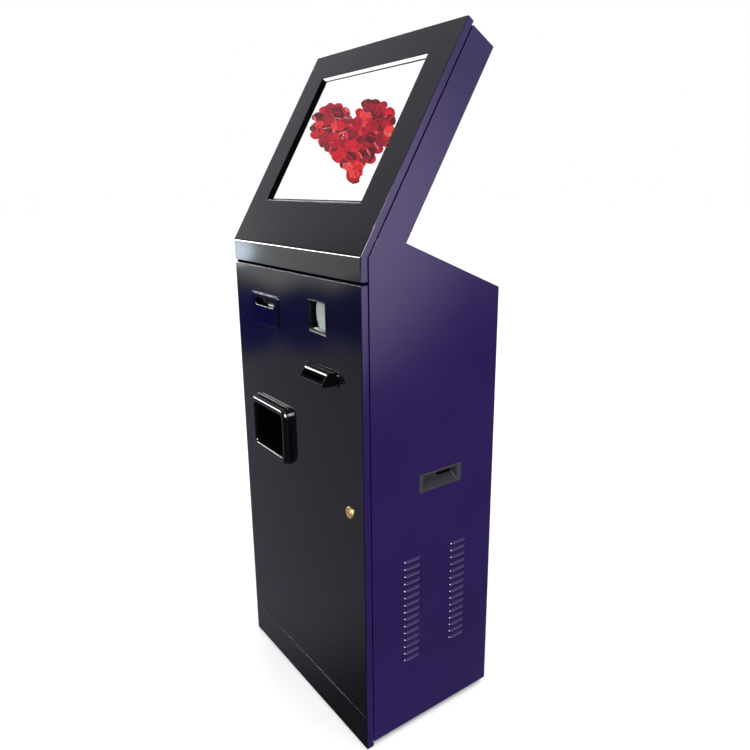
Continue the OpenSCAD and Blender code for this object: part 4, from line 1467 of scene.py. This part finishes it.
@dataclass
class Stage:
    """Pale floor, soft light and the camera, which stands to the machine's right at head height.

    Attributes:
        eye: where the camera stands.
        yaw: how far it is turned from the machine's depth, in degrees.
        pitch: how far it looks down.
        roll: how far it leans.
        lens: its focal length.
        shift: its sideways and upward shift.
        lamps: the lamps.
        patches: what the gloss mirrors.
        sun: strength of the soft light from above.
        sun_width: how wide that light is, in degrees.
        sun_tilt: how far it leans, in degrees.
        floor_side: side of the floor, in metres.
        dark_front: where the room turns from dark to white along Y, and how bright it is before and after.
        dark_floor: the same along Z.
    """

    eye: tuple[float, float, float] = (1.2091, -0.8182, 1.1589)
    yaw: float = 54.27
    pitch: float = 14.93
    roll: float = -0.60
    lens: float = 32.24
    shift: tuple[float, float] = (0.0015, -0.0177)
    lamps: tuple[SoftBox, ...] = (
        SoftBox("key_light", (2.3, -2.4, 2.8), (0.1, 0.0, 0.7), (1.4, 1.0), 45.0),
        SoftBox("left_panel", (-2.6, 0.9, 2.5), (0.0, 0.0, 0.8), (1.4, 1.2), 190.0, lights=False),
        SoftBox("front_tube", (-2.4, -1.95, 1.17), (0.0, -0.16, 1.03), (1.6, 0.3), 70.0, lights=False),
        SoftBox("edge_panel", (2.5, -2.4, 2.6), (0.2, 0.0, 1.1), (2.2, 1.8), 800.0, lights=False),
    )
    patches: tuple[Patch, ...] = (
        Patch((0.89, 0.45, -0.03), 7.0, 19.5, "#e8dcee", 3.8),
        Patch((-0.83, -0.15, 0.53), 9.0, 16.0, "#c4c2cc", 1.0),
        Patch((-0.805, -0.446, -0.391), 11.0, 19.0, "#8f8d9c", 1.0),
        Patch((-0.85, -0.50, -0.02), 7.0, 9.5, "#f2f4f4", 1.2),
        Patch((-0.890, -0.415, -0.191), 1.6, 3.8, "#1a1f9c", 0.9),
        Patch((-0.850, -0.491, -0.191), 1.6, 3.8, "#1a1f9c", 0.9),
        Patch((-0.804, -0.563, -0.191), 1.6, 3.8, "#1a1f9c", 0.9),
        Patch((-0.905, -0.412, -0.092), 0.9, 1.3, "#d8e6f8", 9.0),
    )
    sun: float = 1.5
    sun_width: float = 70.0
    sun_tilt: Pair = (12.0, 14.0)
    floor_side: float = 60.0
    dark_front: tuple[float, ...] = (-0.36, -0.2, 0.3, 1.0)
    dark_floor: tuple[float, ...] = (-0.2, -0.02, 0.14, 1.0)

    def build(self) -> None:
        """Builds floor, world, lamps and camera."""
        Bench.clear()
        bpy.ops.mesh.primitive_plane_add(size=self.floor_side)
        floor = bpy.context.object
        floor.name = "studio_floor"
        floor.data.materials.append(FLOOR_BOARD.make())
        floor.visible_glossy = False
        world = bpy.data.worlds.new("studio")
        world.use_nodes = True
        self.surroundings(world.node_tree)
        bpy.context.scene.world = world
        bpy.context.scene.view_settings.view_transform = "Standard"
        for lamp in self.lamps:
            lamp.build()
        sky = bpy.data.lights.new("sky_panel", "SUN")
        sky.energy, sky.angle = self.sun, math.radians(self.sun_width)
        holder = bpy.data.objects.new("sky_panel", sky)
        holder.rotation_euler = (*map(math.radians, self.sun_tilt), 0.0)
        holder.visible_glossy = False
        bpy.context.scene.collection.objects.link(holder)
        self.camera()

    def surroundings(self, tree: bpy.types.NodeTree) -> None:
        """A white room, darker in front of the machine and underfoot, so that its gloss stays deep.

        The soft patches are laid over it, and the camera itself sees plain white.

        Args:
            tree: the world's node tree.
        """
        ray = add_node(tree, "ShaderNodeTexCoord").outputs["Generated"]
        parts = add_node(tree, "ShaderNodeSeparateXYZ", links={"Vector": ray})
        ramps = []
        for axis, span in (("Y", self.dark_front), ("Z", self.dark_floor)):
            limits = dict(zip(("From Min", "From Max", "To Min", "To Max"), span))
            ramps.append(add_node(tree, "ShaderNodeMapRange", {"interpolation_type": "SMOOTHSTEP", **limits},
                                  {"Value": parts.outputs[axis]}).outputs["Result"])
        both = add_node(tree, "ShaderNodeMath", {"operation": "MULTIPLY"}, dict(enumerate(ramps)))
        colour = both.outputs["Value"]
        for patch in self.patches:
            near = add_node(tree, "ShaderNodeVectorMath",
                            {"operation": "DOT_PRODUCT", 1: Vector(patch.toward).normalized()}, {0: ray})
            edges = {"From Min": math.cos(math.radians(patch.fade_deg)),
                     "From Max": math.cos(math.radians(patch.full_deg))}
            weight = add_node(tree, "ShaderNodeMapRange", {"interpolation_type": "SMOOTHSTEP", **edges},
                              {"Value": near.outputs["Value"]})
            shine = [c * patch.strength for c in linear(patch.colour)[:3]]
            colour = add_node(tree, "ShaderNodeMixRGB", {"Color2": (*shine, 1.0)},
                              {"Fac": weight.outputs["Result"], "Color1": colour}).outputs["Color"]
        seen = add_node(tree, "ShaderNodeLightPath").outputs["Is Camera Ray"]
        colour = add_node(tree, "ShaderNodeMixRGB", {"Color2": (1.0, 1.0, 1.0, 1.0)},
                          {"Fac": seen, "Color1": colour}).outputs["Color"]
        tree.links.new(colour, tree.nodes["Background"].inputs["Color"])

    def camera(self) -> None:
        """Sets up the camera at the viewing angle."""
        a, b, c = (math.radians(v) for v in (self.yaw, self.pitch, self.roll))
        ahead = Vector((-math.sin(a) * math.cos(b), math.cos(a) * math.cos(b), -math.sin(b)))
        right = Vector((math.cos(a), math.sin(a), 0.0))
        up = right.cross(ahead)
        right, up = right * math.cos(c) + up * math.sin(c), up * math.cos(c) - right * math.sin(c)
        camera = bpy.data.cameras.new("camera")
        camera.lens = self.lens
        camera.sensor_width = 36.0
        camera.shift_x, camera.shift_y = self.shift
        holder = bpy.data.objects.new("camera", camera)
        bpy.context.scene.collection.objects.link(holder)
        turn = Matrix((right, up, -ahead)).transposed().to_4x4()
        holder.matrix_world = Matrix.Translation(self.eye) @ turn
        bpy.context.scene.camera = holder


def main() -> None:
    """Builds every sub-assembly in order, then the stage."""
    logging.basicConfig(level=logging.INFO, format="%(message)s")
    Cabinet().build()
    FlushHandle(Facing.RIGHT).build()
    FlushHandle(Facing.LEFT).build()
    FrontDoor().build()
    CardReader().build()
    CodeScanner().build()
    BillMouth().build()
    TicketBin().build()
    CamLock().build()
    HeadDoor().build()
    LitScreen().build()
    Stage().build()


if __name__ == "__main__":
    main()
